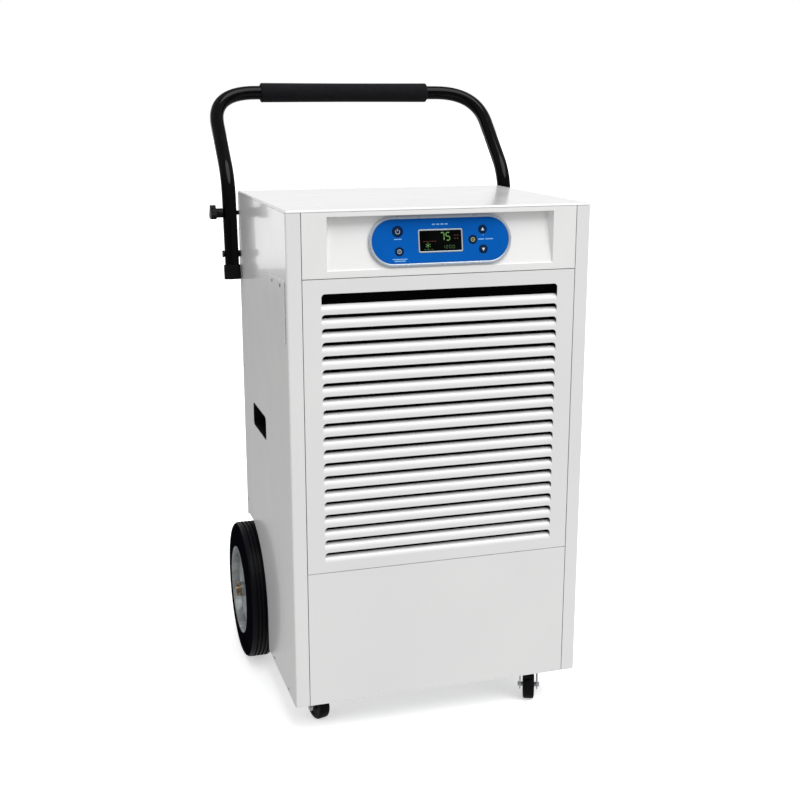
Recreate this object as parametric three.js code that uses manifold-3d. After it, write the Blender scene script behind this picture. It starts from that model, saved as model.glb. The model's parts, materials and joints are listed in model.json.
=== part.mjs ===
// A commercial dehumidifier: an upright sheet-steel cabinet with a louvred front, a sloped control
// fascia, a folding push handle, two big rear wheels in arches and two swivel castors at the front.
// Millimetres, +Z up, the front faces -Y, the floor is z = 0. x runs to the right seen from the front.
import * as THREE from "three";
import { mergeVertices } from "three/addons/utils/BufferGeometryUtils.js";
import Module from "manifold-3d";

const wasm = await Module();
wasm.setup();

// ---- main sizes -------------------------------------------------------------------------------
const WIDTH = 500; // cabinet, side to side
const DEPTH = 420; // cabinet, front face (y = 0) to rear face
const HEIGHT = 815; // cabinet, without the castors
const BASE = 65; // floor to the underside of the cabinet
const SHEET = 1.5; // steel sheet
const GAP = 0.4; // air between pieces that touch
const SEAM = 1.1; // visible gap round the front panels
const POST = 23.5; // front and rear returns of the side panels
const LID = 3.5; // depth of the top cover's folded edge
const FASCIA_HEIGHT = 100.5;
const LOWER_HEIGHT = 231; // plain panel under the grille

const SIDE = WIDTH / 2;
const TOP = BASE + HEIGHT;
const FRAME_TOP = TOP - LID - GAP; // top of everything under the cover
const DOOR = SIDE - POST - SEAM; // half the width of the panels between the posts
const FASCIA_Z = FRAME_TOP - FASCIA_HEIGHT;
const GRILLE_TOP = FASCIA_Z - SEAM;
const GRILLE_Z = BASE + LOWER_HEIGHT + SEAM;

// Rear wheels: a 257 mm tyre that stands half outside the cabinet in a round arch.
const WHEEL = { radius: 128.5, width: 49, middle: 255.2, y: 376, z: 128.5, rim: 83 };
const ARCH = 144;
const WELL = 222; // inner wall of the wheel well, from the middle of the cabinet
const AXLE = 7.5;
const HUB = 21; // how far the hub tube reaches outwards from the middle of its wheel

// Handle: a U of 25.4 mm tube on the sides; the legs lean a little, the top leans back.
const LEG_X = 266;
const TUBE = 12.7;
const BOLT = 4; // radius of the pivot bolts and of the clamp screws
const LEG_FOOT = { y: 405, z: BASE + 657 };
const LEAN = THREE.MathUtils.degToRad(5.4);
const PIVOT_UP = 46; // pivot bolt, along the leg from its foot
const CLAMP_UP = 119.5; // clamp knob, along the leg from its foot
const KNEE_UP = 179; // where the leg bends back
const BAR = { y: 586, z: BASE + 986.5 };
const BEND = { top: 85, knee: 38 }; // how far before and after its corner each bend reaches
const GRIP = { length: 332, x: -6, radius: 18 }; // the foam sleeve sits a little to the left

// Castors.
const CASTOR = { x: 189, y: 59, trail: 20, radius: 25, width: 20 };
const CASTOR_ANGLE = { left: 106, right: -111 }; // which way each one trails, degrees from +x

// Louvres of the front grille.
const LOUVRES = 20;
const LOUVRE_PITCH = 21.6;
const LOUVRE_HALF = 196;
const SLOT = { height: 15, lip: 8, reach: 9, first: 25.6, below: 22.5 };

// Control fascia: a wedge-shaped recess, deepest at its top edge, that carries the pill panel.
const RECESS = { half: 186, top: BASE + 804, bottom: BASE + 722, depth: 16, foot: 2, bevel: 6 };
const PILL = { z: BASE + 761.6, proud: 4.4 };
const BEZEL = { x: -1.4, y: 0.6, half: 117.4, radius: 38.9, rim: 4.6 }; // about the pill frame
const TILT = Math.atan2(RECESS.depth - RECESS.foot, RECESS.top - RECESS.bottom);

// Fan and coils.
const FAN = { z: BASE + 465, radius: 158, hub: 46, y: 232 };

// ---- materials --------------------------------------------------------------------------------
const paint = (color, roughness, metalness = 0) =>
  new THREE.MeshStandardMaterial({ color, roughness, metalness });
const WHITE = paint(0xf1f1ee, 0.25);
const SHELL = paint(0xefefec, 0.3);
const BLACK_STEEL = paint(0x0c0c0d, 0.3);
const FOAM = paint(0x1b1b1d, 0.9);
const BLACK_PLASTIC = paint(0x141416, 0.5);
const RUBBER = paint(0x17181b, 0.75);
const ZINC = paint(0xb9bcc0, 0.35, 1);
const SILVER = paint(0xc2c7cc, 0.3, 0.6);
const BLUE = paint(0x0b5cc4, 0.35);
const GLASS = paint(0x05070a, 0.08);
const KEY = paint(0x0a2340, 0.4);
const ALUMINIUM = paint(0xc9ccce, 0.4, 1);
const COPPER = paint(0xb87044, 0.3, 1);
const BOARD = paint(0x1c6b3a, 0.6);
const FILTER = paint(0x44484c, 0.9);

// ---- solids -----------------------------------------------------------------------------------
function toSolid(geometry) {
  const bare = geometry.index ? geometry.toNonIndexed() : geometry.clone();
  bare.deleteAttribute("normal");
  bare.deleteAttribute("uv");
  const merged = mergeVertices(bare, 1e-4);
  const index = merged.index.array;
  const triVerts = [];
  for (let i = 0; i < index.length; i += 3) {
    const [a, b, c] = [index[i], index[i + 1], index[i + 2]];
    if (a !== b && b !== c && c !== a) triVerts.push(a, b, c);
  }
  const build = (tris) =>
    new wasm.Manifold(
      new wasm.Mesh({
        numProp: 3,
        vertProperties: merged.attributes.position.array,
        triVerts: new Uint32Array(tris),
      }),
    );
  const solid = build(triVerts);
  return solid.volume() < 0 ? build(triVerts.reverse()) : solid;
}

function toGeometry(solid) {
  const mesh = solid.getMesh();
  const geometry = new THREE.BufferGeometry();
  geometry.setAttribute("position", new THREE.BufferAttribute(mesh.vertProperties, 3));
  geometry.setIndex(new THREE.BufferAttribute(mesh.triVerts, 1));
  geometry.computeVertexNormals();
  return geometry;
}

const join = (...solids) => solids.reduce((all, one) => all.add(one));
const cut = (solid, ...tools) => tools.reduce((left, tool) => left.subtract(tool), solid);
const placed = (solid, matrix) => solid.transform(matrix.elements);

function block(x0, x1, y0, y1, z0, z1) {
  const box = new THREE.BoxGeometry(Math.abs(x1 - x0), Math.abs(y1 - y0), Math.abs(z1 - z0));
  box.translate((x0 + x1) / 2, (y0 + y1) / 2, (z0 + z1) / 2);
  return toSolid(box);
}

// A frame whose local z runs along one of the main axes: drawings in it read
// x, y for "z" (seen from above), x, z for "y" (seen from behind the front) and y, z for "x".
const DRAWING = {
  x: new THREE.Matrix4().makeBasis(
    new THREE.Vector3(0, 1, 0),
    new THREE.Vector3(0, 0, 1),
    new THREE.Vector3(1, 0, 0),
  ),
  y: new THREE.Matrix4().makeBasis(
    new THREE.Vector3(-1, 0, 0),
    new THREE.Vector3(0, 0, 1),
    new THREE.Vector3(0, 1, 0),
  ),
  z: new THREE.Matrix4(),
};

// A flat drawing pushed along an axis. Drawings for the y axis are mirrored in x by their frame.
function extruded(axis, shape, from, to, curveSegments = 4) {
  const low = Math.min(from, to);
  const depth = Math.abs(to - from);
  const geometry = new THREE.ExtrudeGeometry(shape, { depth, curveSegments, bevelEnabled: false });
  geometry.translate(0, 0, low);
  return toSolid(geometry.applyMatrix4(DRAWING[axis]));
}

// A round bar along an axis; a and b are its centre in the other two coordinates, in x, y, z order.
function rod(axis, radius, from, to, a, b, sides = 16) {
  const cylinder = new THREE.CylinderGeometry(radius, radius, Math.abs(to - from), sides);
  if (axis === "x") cylinder.rotateZ(Math.PI / 2);
  if (axis === "z") cylinder.rotateX(Math.PI / 2);
  const middle = (from + to) / 2;
  const centre = { x: [middle, a, b], y: [a, middle, b], z: [a, b, middle] }[axis];
  return toSolid(cylinder.translate(...centre));
}

// A turned piece round the x axis: the profile lists [radius, distance along x] and is closed here.
function turned(profile, sides = 32) {
  const points = [...profile, profile[0]].map(([r, along]) => new THREE.Vector2(r, along));
  return toSolid(new THREE.LatheGeometry(points, sides).rotateZ(-Math.PI / 2));
}

function roundRect(x0, x1, y0, y1, radius) {
  const shape = new THREE.Shape();
  shape.moveTo(x0 + radius, y0);
  shape.lineTo(x1 - radius, y0);
  shape.absarc(x1 - radius, y0 + radius, radius, -Math.PI / 2, 0);
  shape.lineTo(x1, y1 - radius);
  shape.absarc(x1 - radius, y1 - radius, radius, 0, Math.PI / 2);
  shape.lineTo(x0 + radius, y1);
  shape.absarc(x0 + radius, y1 - radius, radius, Math.PI / 2, Math.PI);
  shape.lineTo(x0, y0 + radius);
  shape.absarc(x0 + radius, y0 + radius, radius, Math.PI, Math.PI * 1.5);
  return shape;
}

const polygon = (points) => new THREE.Shape(points.map(([a, b]) => new THREE.Vector2(a, b)));

// Straight runs with rounded corners; bends is one reach for all corners or a list of them.
function roundedPath(corners, bends, steps) {
  const stations = [corners[0]];
  corners.slice(1, -1).forEach((corner, i) => {
    const reach = Array.isArray(bends) ? bends[i] : bends;
    const before = corners[i].clone().sub(corner).setLength(reach).add(corner);
    const after = corners[i + 2].clone().sub(corner).setLength(reach).add(corner);
    const bend = new THREE.QuadraticBezierCurve3(before, corner, after);
    stations.push(...bend.getPoints(steps));
  });
  stations.push(corners[corners.length - 1]);
  return stations;
}

// A curve that stops exactly at its stations, so straight runs stay single pieces.
class StationCurve extends THREE.Curve {
  constructor(stations) {
    super();
    this.stations = stations;
  }
  getPoint(t, target = new THREE.Vector3()) {
    const place = t * (this.stations.length - 1);
    const i = Math.min(Math.floor(place), this.stations.length - 2);
    return target.lerpVectors(this.stations[i], this.stations[i + 1], place - i);
  }
  getPointAt(u, target) {
    return this.getPoint(u, target);
  }
  getTangentAt(u, target) {
    return this.getTangent(u, target);
  }
}

// A round bar bent along a path; its ring has twice halfSides sides.
function tube(corners, bends, radius, halfSides = 3, steps = 3) {
  const points = corners.map((corner) => new THREE.Vector3(...corner));
  const stations = roundedPath(points, bends, steps);
  const ring = new THREE.Shape();
  ring.absarc(0, 0, radius, 0, Math.PI * 2);
  const geometry = new THREE.ExtrudeGeometry(ring, {
    steps: stations.length - 1,
    curveSegments: halfSides,
    bevelEnabled: false,
    extrudePath: new StationCurve(stations),
  });
  return toSolid(geometry);
}

// ---- the assembly -----------------------------------------------------------------------------
const dehumidifier = new THREE.Group();
dehumidifier.name = "dehumidifier";

function add(name, solid, material) {
  const mesh = new THREE.Mesh(toGeometry(solid), material);
  mesh.name = name;
  dehumidifier.add(mesh);
}

const SIDES = [
  ["left", -1],
  ["right", 1],
];

// ---- cabinet ----------------------------------------------------------------------------------
function wheelArch(side, radius) {
  const inner = side * (WELL - 1);
  const outer = side * (SIDE + 1);
  return join(
    rod("x", radius, inner, outer, WHEEL.y, WHEEL.z, 48),
    block(inner, outer, WHEEL.y - radius, DEPTH + 5, BASE - 5, WHEEL.z),
  );
}

const PAN_HALF = SIDE - SHEET - GAP;

function basePan() {
  const front = SHEET + 2 * GAP;
  const back = DEPTH - SHEET - 2 * GAP;
  const wall = 25;
  const outer = block(-PAN_HALF, PAN_HALF, front, back, BASE, BASE + wall);
  const hollow = block(
    -PAN_HALF + SHEET,
    PAN_HALF - SHEET,
    front + SHEET,
    back - SHEET,
    BASE + SHEET,
    BASE + wall + 5,
  );
  let pan = cut(outer, hollow);
  for (const [, side] of SIDES) {
    const notchFront = WHEEL.y - ARCH - 4;
    pan = cut(pan, block(side * (WELL - 2), side * (SIDE + 5), notchFront, DEPTH + 5, BASE - 5, TOP));
    const lug = block(side * 196, side * 200, WHEEL.y - 18, WHEEL.y + 18, BASE + 0.5, WHEEL.z + 18);
    pan = pan.add(cut(lug, rod("x", AXLE + GAP, side * 190, side * 206, WHEEL.y, WHEEL.z)));
  }
  return pan;
}

function sidePanel(side) {
  const outer = extruded("z", roundRect(-SIDE, SIDE, 0, DEPTH, 3), BASE, FRAME_TOP, 3);
  const inner = extruded(
    "z",
    roundRect(-SIDE + SHEET, SIDE - SHEET, SHEET, DEPTH - SHEET, 1.5),
    BASE - 5,
    TOP,
    3,
  );
  const half = block(side * (SIDE - POST), side * (SIDE + 5), -5, DEPTH + 5, BASE - 5, TOP);
  return cut(
    outer.intersect(half),
    inner,
    wheelArch(side, ARCH),
    extruded("x", gripOpening(0), side * (SIDE - 5), side * (SIDE + 5), 3),
    rod("x", BOLT + GAP, side * (SIDE - 5), side * (SIDE + 5), legPoint(PIVOT_UP).y, legPoint(PIVOT_UP).z),
  );
}

function topCover() {
  const round = 3;
  const geometry = new THREE.ExtrudeGeometry(
    roundRect(-SIDE + round, SIDE - round, round, DEPTH - round, 0.5),
    { depth: LID, bevelThickness: round, bevelSize: round, bevelSegments: 3, curveSegments: 2 },
  );
  geometry.translate(0, 0, TOP - LID - round);
  const keep = block(-SIDE - 5, SIDE + 5, -5, DEPTH + 5, TOP - LID, TOP + 5);
  const rim = 2;
  const hollow = block(
    -SIDE + rim,
    SIDE - rim,
    rim,
    DEPTH - rim,
    TOP - LID - 5,
    TOP - SHEET,
  );
  return cut(toSolid(geometry).intersect(keep), hollow);
}

// Rear panel with rows of slots that fill a circle behind the fan.
function rearPanel() {
  const y = DEPTH - SHEET;
  const notch = BASE + ARCH + 68;
  const outline = polygon([
    [-DOOR, notch],
    [-WELL + 4, notch],
    [-WELL + 4, BASE],
    [WELL - 4, BASE],
    [WELL - 4, notch],
    [DOOR, notch],
    [DOOR, FRAME_TOP],
    [-DOOR, FRAME_TOP],
  ]);
  const rows = 11;
  const pitch = 28;
  for (let i = 0; i < rows; i += 1) {
    const up = (i - (rows - 1) / 2) * pitch;
    const half = Math.sqrt((FAN.radius + 6) ** 2 - up ** 2);
    outline.holes.push(roundRect(-half, half, FAN.z + up - 6, FAN.z + up + 6, 5));
  }
  const panel = extruded("y", outline, y, DEPTH, 2);
  return cut(
    panel,
    rod("y", 9.4, y - 5, DEPTH + 5, DRAIN.x, DRAIN.z),
    rod("y", 9.4, y - 5, DEPTH + 5, GLAND.x, GLAND.z),
  );
}

// One slot of the grille: square at the bottom, rounded at the two top corners.
function slotOutline(top, height) {
  const radius = 6;
  const hole = new THREE.Path();
  hole.moveTo(-LOUVRE_HALF, top - height);
  hole.lineTo(LOUVRE_HALF, top - height);
  hole.lineTo(LOUVRE_HALF, top - radius);
  hole.absarc(LOUVRE_HALF - radius, top - radius, radius, 0, Math.PI / 2);
  hole.lineTo(-LOUVRE_HALF + radius, top);
  hole.absarc(-LOUVRE_HALF + radius, top - radius, radius, Math.PI / 2, Math.PI);
  return hole;
}

// A louvre blade: it leaves the sheet at the foot of its slot and leans inwards as it rises.
function louvreBlade(foot) {
  const thick = SHEET;
  const profile = polygon([
    [0, foot - 1],
    [0, foot],
    [SLOT.reach, foot + SLOT.lip],
    [SLOT.reach + thick, foot + SLOT.lip],
    [SLOT.reach + thick, foot + SLOT.lip - thick],
    [thick, foot - 1],
  ]);
  return extruded("x", profile, -LOUVRE_HALF - 0.6, LOUVRE_HALF + 0.6);
}

function frontGrille() {
  const firstSlot = GRILLE_TOP - SLOT.below;
  const outline = polygon([
    [-DOOR, GRILLE_Z],
    [DOOR, GRILLE_Z],
    [DOOR, GRILLE_TOP],
    [-DOOR, GRILLE_TOP],
  ]);
  const feet = [];
  for (let i = 0; i < LOUVRES; i += 1) {
    const height = i === 0 ? SLOT.first : SLOT.height;
    const foot = firstSlot - SLOT.first - i * LOUVRE_PITCH;
    outline.holes.push(slotOutline(foot + height, height));
    feet.push(foot);
  }
  const sheet = extruded("y", outline, 0, SHEET, 2);
  return join(returnedEdges(sheet, GRILLE_Z, GRILLE_TOP), ...feet.map(louvreBlade));
}

// Adds the four folded edges of a door-like panel between the posts.
function returnedEdges(sheet, bottom, top) {
  const rim = block(-DOOR, DOOR, 0.5, 12, bottom, top);
  const inside = block(-DOOR + SHEET, DOOR - SHEET, 0, 15, bottom + SHEET, top - SHEET);
  return join(sheet, cut(rim, inside));
}

function lowerPanel() {
  const bottom = BASE;
  const top = BASE + LOWER_HEIGHT;
  // its lower edge stays open so that it drops in front of the pan
  const sheet = block(-DOOR, DOOR, 0, SHEET, bottom, top);
  const edges = cut(
    block(-DOOR, DOOR, 0.5, 12, BASE + 27, top),
    block(-DOOR + SHEET, DOOR - SHEET, 0, 15, BASE, top - SHEET),
  );
  return join(sheet, edges);
}

function wheelWell(side) {
  const mouth = side * (SIDE - SHEET - GAP);
  const wall = side * WELL;
  const radius = ARCH - GAP;
  const outer = join(
    rod("x", radius, wall, mouth, WHEEL.y, WHEEL.z, 48),
    block(wall, mouth, WHEEL.y - radius, DEPTH - SHEET - GAP, BASE, WHEEL.z),
  );
  const start = side * (WELL + SHEET);
  const end = side * (SIDE + 5);
  const inner = join(
    rod("x", radius - SHEET, start, end, WHEEL.y, WHEEL.z, 48),
    block(start, end, WHEEL.y - radius + SHEET, DEPTH + 50, BASE - 5, WHEEL.z),
  );
  const kept = block(wall, mouth, 0, DEPTH - SHEET - GAP, BASE, TOP);
  const axleHole = rod("x", AXLE + 1, side * (WELL - 5), end, WHEEL.y, WHEEL.z);
  return cut(outer.intersect(kept), inner, axleHole);
}

// ---- recessed grips and the service cover -----------------------------------------------------
function gripOpening(inset) {
  return roundRect(
    201 + inset,
    321 - inset,
    BASE + 404 + inset,
    BASE + 446 - inset,
    Math.max(8 - inset, 2),
  );
}

function sideGrip(side) {
  const mouth = side * (SIDE - 0.2);
  const floor = side * (SIDE - 28);
  const cup = extruded("x", gripOpening(GAP), floor, mouth, 3);
  return cut(cup, extruded("x", gripOpening(GAP + 2), floor + side * 2, mouth + side * 5, 3));
}

const COVER = { y0: 12, y1: 127, z0: BASE + 610, z1: BASE + 706 };

function serviceCover() {
  const outline = roundRect(COVER.y0, COVER.y1, COVER.z0, COVER.z1, 3);
  return extruded("x", outline, -SIDE - GAP, -SIDE - GAP - 1.8, 2);
}

// ---- control fascia ---------------------------------------------------------------------------
function recess(grow) {
  const slope = polygon([
    [-5, RECESS.top + grow],
    [RECESS.depth + grow, RECESS.top + grow],
    [RECESS.foot + grow, RECESS.bottom - grow],
    [-5, RECESS.bottom - grow],
  ]);
  const ends = polygon([
    [-RECESS.half - grow - 5, -5],
    [RECESS.half + grow + 5, -5],
    [RECESS.half + grow - RECESS.bevel, RECESS.depth + grow],
    [-RECESS.half - grow + RECESS.bevel, RECESS.depth + grow],
  ]);
  const wedge = extruded("x", slope, -RECESS.half - grow, RECESS.half + grow);
  return wedge.intersect(extruded("z", ends, RECESS.bottom - grow - 5, RECESS.top + grow + 5));
}

function controlFascia() {
  const wall = 2.5;
  const outer = block(-DOOR, DOOR, 0, 22, FASCIA_Z, FRAME_TOP);
  const inside = block(-DOOR + wall, DOOR - wall, wall, 30, FASCIA_Z + wall, FRAME_TOP - wall);
  return cut(outer, recess(0), cut(inside, recess(wall)));
}

// The pill panel's own frame: x to the right, y up the slope, z straight out of the recess floor.
function pillFrame() {
  const depth = RECESS.foot + Math.tan(TILT) * (PILL.z - RECESS.bottom);
  return new THREE.Matrix4()
    .makeBasis(
      new THREE.Vector3(1, 0, 0),
      new THREE.Vector3(0, Math.sin(TILT), Math.cos(TILT)),
      new THREE.Vector3(0, -Math.cos(TILT), Math.sin(TILT)),
    )
    .setPosition(0, depth, PILL.z);
}

const onPill = (shape, from, to, segments = 6) =>
  placed(extruded("z", shape, from, to, segments), pillFrame());
const pill = (inset) => {
  const [half, radius] = [BEZEL.half - inset, BEZEL.radius - inset];
  return roundRect(
    BEZEL.x - half,
    BEZEL.x + half,
    BEZEL.y - radius,
    BEZEL.y + radius,
    radius - 0.01,
  );
};
const disc = (x, y, radius) => new THREE.Shape().absarc(x, y, radius, 0, Math.PI * 2);

const KEYS = {
  button_power: { x: -72, y: 16, radius: 8.5 },
  button_timer: { x: -70.5, y: -15, radius: 6.8 },
  button_up: { x: 68, y: 15.5, radius: 6.8 },
  button_mode: { x: 51, y: 0, radius: 6.8 },
  button_down: { x: 68, y: -15.5, radius: 6.8 },
};
const DISPLAY = { x: -2.5, halfWidth: 37, halfHeight: 18.5 };
const displayOutline = (inset) =>
  roundRect(
    DISPLAY.x - DISPLAY.halfWidth + inset,
    DISPLAY.x + DISPLAY.halfWidth - inset,
    -DISPLAY.halfHeight + inset,
    DISPLAY.halfHeight - inset,
    3,
  );

function controlBezel() {
  return cut(onPill(pill(0), GAP, PILL.proud), onPill(pill(BEZEL.rim), -1, PILL.proud + 1));
}

function controlPlate() {
  const holes = Object.values(KEYS).map((key) =>
    onPill(disc(key.x, key.y, key.radius + GAP), -1, 8, 8),
  );
  return cut(onPill(pill(BEZEL.rim + GAP), GAP, 3.4), onPill(displayOutline(0), -1, 8, 3), ...holes);
}

// ---- refrigeration, air path and electrics ----------------------------------------------------
const COIL = { half: 188, z0: BASE + 250, z1: BASE + 690 };

// A fin block with two end plates and the return bends of its tube rows.
function coil(y0, y1, bends) {
  const fins = block(-COIL.half, COIL.half, y0 + 2, y1 - 2, COIL.z0 + 2, COIL.z1 - 2);
  const plates = SIDES.map(([, side]) =>
    block(side * (COIL.half - 2), side * (COIL.half + 1), y0, y1, COIL.z0, COIL.z1),
  );
  const middle = (y0 + y1) / 2;
  const pitch = (COIL.z1 - COIL.z0) / bends;
  const loops = [];
  for (let i = 0; i < bends; i += 1) {
    const z = COIL.z0 + pitch * (i + 0.5);
    const reach = COIL.half + 16;
    const path = [
      [COIL.half - 2, middle, z - pitch / 4],
      [reach, middle, z - pitch / 4],
      [reach, middle, z + pitch / 4],
      [COIL.half - 2, middle, z + pitch / 4],
    ];
    loops.push(tube(path, 10, 4.5, 3, 2));
  }
  return join(fins, ...plates, ...loops);
}

function dripTray() {
  const outer = block(-205, 205, 36, 172, BASE + 234, BASE + 247);
  const hollow = block(-203, 203, 38, 170, BASE + 236, BASE + 260);
  return cut(outer, hollow, rod("z", 7, BASE + 230, BASE + 240, DRAIN.x, 150));
}

function airFilter() {
  const [z0, z1] = [BASE + 238, BASE + 702];
  const frame = cut(
    block(-205, 205, 18, 26, z0, z1),
    block(-195, 195, 15, 30, z0 + 10, z1 - 10),
  );
  const mat = block(-196, 196, 20.5, 23.5, z0 + 9, z1 - 9);
  return join(frame, mat);
}

function fanShroud() {
  const plate = block(-196, 196, 180, 182, BASE + 238, BASE + 700);
  const ring = rod("y", FAN.radius + 8, 180, 222, 0, FAN.z, 32);
  return cut(join(plate, ring), rod("y", FAN.radius + 6, 170, 230, 0, FAN.z, 32));
}

function fanImpeller() {
  const blades = 5;
  const hub = rod("y", FAN.hub, FAN.y - 18, FAN.y + 10, 0, FAN.z, 24);
  const wings = [];
  for (let i = 0; i < blades; i += 1) {
    const wing = new THREE.BoxGeometry(76, 2.5, FAN.radius - FAN.hub + 8);
    wing.rotateZ(THREE.MathUtils.degToRad(28));
    wing.translate(0, 0, (FAN.radius + FAN.hub - 8) / 2);
    wing.rotateY((i / blades) * Math.PI * 2);
    wing.translate(0, FAN.y - 4, FAN.z);
    wings.push(toSolid(wing));
  }
  const sweep = rod("y", FAN.radius, FAN.y - 40, FAN.y + 40, 0, FAN.z, 40);
  const bore = rod("y", 6.1, FAN.y - 60, FAN.y + 60, 0, FAN.z, 24);
  return cut(join(hub, join(...wings).intersect(sweep)), bore);
}

function fanMotor() {
  const can = rod("y", 44, FAN.y + 20, FAN.y + 96, 0, FAN.z, 24);
  const shaft = rod("y", 6, FAN.y - 24, FAN.y + 22, 0, FAN.z, 12);
  return join(can, shaft);
}

function motorBracket() {
  const y = FAN.y + 96 + GAP;
  const far = DEPTH - SHEET - GAP;
  const strap = block(-180, 180, y, y + 2.5, FAN.z - 20, FAN.z + 20);
  const legs = SIDES.map(([, side]) =>
    block(side * 178, side * 180.5, y, far, FAN.z - 20, FAN.z + 20),
  );
  const feet = SIDES.map(([, side]) =>
    block(side * 178, side * 198, far - 2.5, far, FAN.z - 20, FAN.z + 20),
  );
  return join(strap, ...legs, ...feet);
}

const COMPRESSOR = { x: -75, y: 215, radius: 62 };

function compressor() {
  const { x, y, radius } = COMPRESSOR;
  const floor = BASE + SHEET;
  const can = turned(
    [
      [0, 14],
      [radius - 22, 14],
      [radius - 4, 24],
      [radius, 40],
      [radius, 160],
      [radius - 6, 178],
      [radius - 26, 192],
      [0, 196],
    ],
    24,
  );
  const upright = new THREE.Matrix4().makeRotationY(-Math.PI / 2).setPosition(x, y, floor);
  const feet = [];
  for (let i = 0; i < 3; i += 1) {
    const angle = (i / 3) * Math.PI * 2 + Math.PI / 6;
    const [fx, fy] = [x + Math.cos(angle) * (radius + 14), y + Math.sin(angle) * (radius + 14)];
    feet.push(rod("z", 13, floor + GAP, floor + 18, fx, fy, 10));
  }
  const deck = rod("z", radius + 16, floor + 12, floor + 15, x, y, 24);
  return join(placed(can, upright), deck, ...feet);
}

function accumulator() {
  return join(
    rod("z", 27, BASE + 40, BASE + 170, 30, 262, 20),
    rod("z", 16, BASE + 30, BASE + 180, 30, 262, 16),
  );
}

// The hot gas line: compressor top to the condenser.
function dischargePipe() {
  const { x, y } = COMPRESSOR;
  const topOfCan = BASE + SHEET + 196 + GAP;
  return tube(
    [
      [x, y, topOfCan],
      [x, y, topOfCan + 16],
      [204, y, topOfCan + 16],
      [204, 195, topOfCan + 16],
      [204, 195, BASE + 470],
      [204, 130, BASE + 470],
      [189.8, 130, BASE + 470],
    ],
    12,
    4,
  );
}

// The cold return: evaporator to the accumulator beside the compressor.
function suctionPipe() {
  return tube(
    [
      [30, 262, BASE + 180 + GAP],
      [30, 262, BASE + 205],
      [-214, 262, BASE + 205],
      [-214, 66, BASE + 205],
      [-214, 66, BASE + 420],
      [-189 - GAP - 0.4, 66, BASE + 420],
    ],
    12,
    5,
  );
}

const DRAIN = { x: 120, z: BASE + 40 };
const GLAND = { x: -120, z: BASE + 40 };

function drainHose() {
  return tube(
    [
      [DRAIN.x, 150, BASE + 232],
      [DRAIN.x, 150, DRAIN.z + 40],
      [DRAIN.x, 300, DRAIN.z],
      [DRAIN.x, DEPTH - 22, DRAIN.z],
    ],
    30,
    8,
    4,
  );
}

function drainOutlet() {
  return cut(
    join(
      rod("y", 9, DEPTH - 20, DEPTH + 26, DRAIN.x, DRAIN.z),
      rod("y", 13, DEPTH + GAP, DEPTH + 4, DRAIN.x, DRAIN.z, 6),
      rod("y", 10.5, DEPTH + 18, DEPTH + 22, DRAIN.x, DRAIN.z),
    ),
    rod("y", 6, DEPTH - 30, DEPTH + 30, DRAIN.x, DRAIN.z, 12),
  );
}

function cableGland() {
  return cut(
    join(
      rod("y", 9, DEPTH - 12, DEPTH + 20, GLAND.x, GLAND.z),
      rod("y", 13, DEPTH + GAP, DEPTH + 6, GLAND.x, GLAND.z, 6),
      rod("y", 11.5, DEPTH + 6, DEPTH + 16, GLAND.x, GLAND.z),
    ),
    rod("y", 5, DEPTH - 30, DEPTH + 30, GLAND.x, GLAND.z, 12),
  );
}

// A folded steel box, open towards the rear panel.
function electricalBox() {
  const outer = block(80, 190, 345, 414, BASE + 200, BASE + 298);
  return cut(outer, block(82, 188, 347, 420, BASE + 202, BASE + 296));
}

// ---- handle -----------------------------------------------------------------------------------
function legPoint(along) {
  return { y: LEG_FOOT.y + Math.sin(LEAN) * along, z: LEG_FOOT.z + Math.cos(LEAN) * along };
}

// A frame on a leg's foot, z up along the leg.
const legFrame = (side) =>
  new THREE.Matrix4().makeRotationX(-LEAN).setPosition(side * LEG_X, LEG_FOOT.y, LEG_FOOT.z);

function handleTube() {
  const foot = legPoint(5);
  const knee = legPoint(KNEE_UP);
  const corners = [
    [-LEG_X, foot.y, foot.z],
    [-LEG_X, knee.y, knee.z],
    [-LEG_X, BAR.y, BAR.z],
    [LEG_X, BAR.y, BAR.z],
    [LEG_X, knee.y, knee.z],
    [LEG_X, foot.y, foot.z],
  ];
  let bar = tube(corners, [BEND.knee, BEND.top, BEND.top, BEND.knee], TUBE, 6, 5);
  for (const [, side] of SIDES) {
    for (const along of [PIVOT_UP, CLAMP_UP]) {
      const at = legPoint(along);
      bar = cut(bar, rod("x", BOLT + GAP, side * (LEG_X - 20), side * (LEG_X + 20), at.y, at.z, 20));
    }
  }
  return bar;
}

function handleGrip() {
  const half = GRIP.length / 2;
  const sleeve = turned(
    [
      [TUBE + 0.5, -half],
      [GRIP.radius - 1.5, -half],
      [GRIP.radius, -half + 2],
      [GRIP.radius, half - 2],
      [GRIP.radius - 1.5, half],
      [TUBE + 0.5, half],
    ],
    20,
  );
  return placed(sleeve, new THREE.Matrix4().setPosition(GRIP.x, BAR.y, BAR.z));
}

function legCap(side) {
  const cup = cut(rod("z", 15.4, 0, 26, 0, 0, 20), rod("z", TUBE + 0.4, 4.6, 40, 0, 0, 20));
  return placed(cup, legFrame(side));
}

// A shoulder bolt: hexagon head outside, collar between the leg and the side panel.
function pivotBolt(side) {
  const at = legPoint(PIVOT_UP);
  const bolt = join(
    rod("x", BOLT, side * (SIDE - 14), side * (LEG_X + TUBE + 3), at.y, at.z, 20),
    rod("x", 6.5, side * (LEG_X + TUBE + 0.6), side * (LEG_X + TUBE + 4), at.y, at.z, 6),
    rod("x", 6, side * (SIDE + GAP), side * (LEG_X - TUBE - GAP), at.y, at.z, 12),
  );
  return bolt;
}

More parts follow.
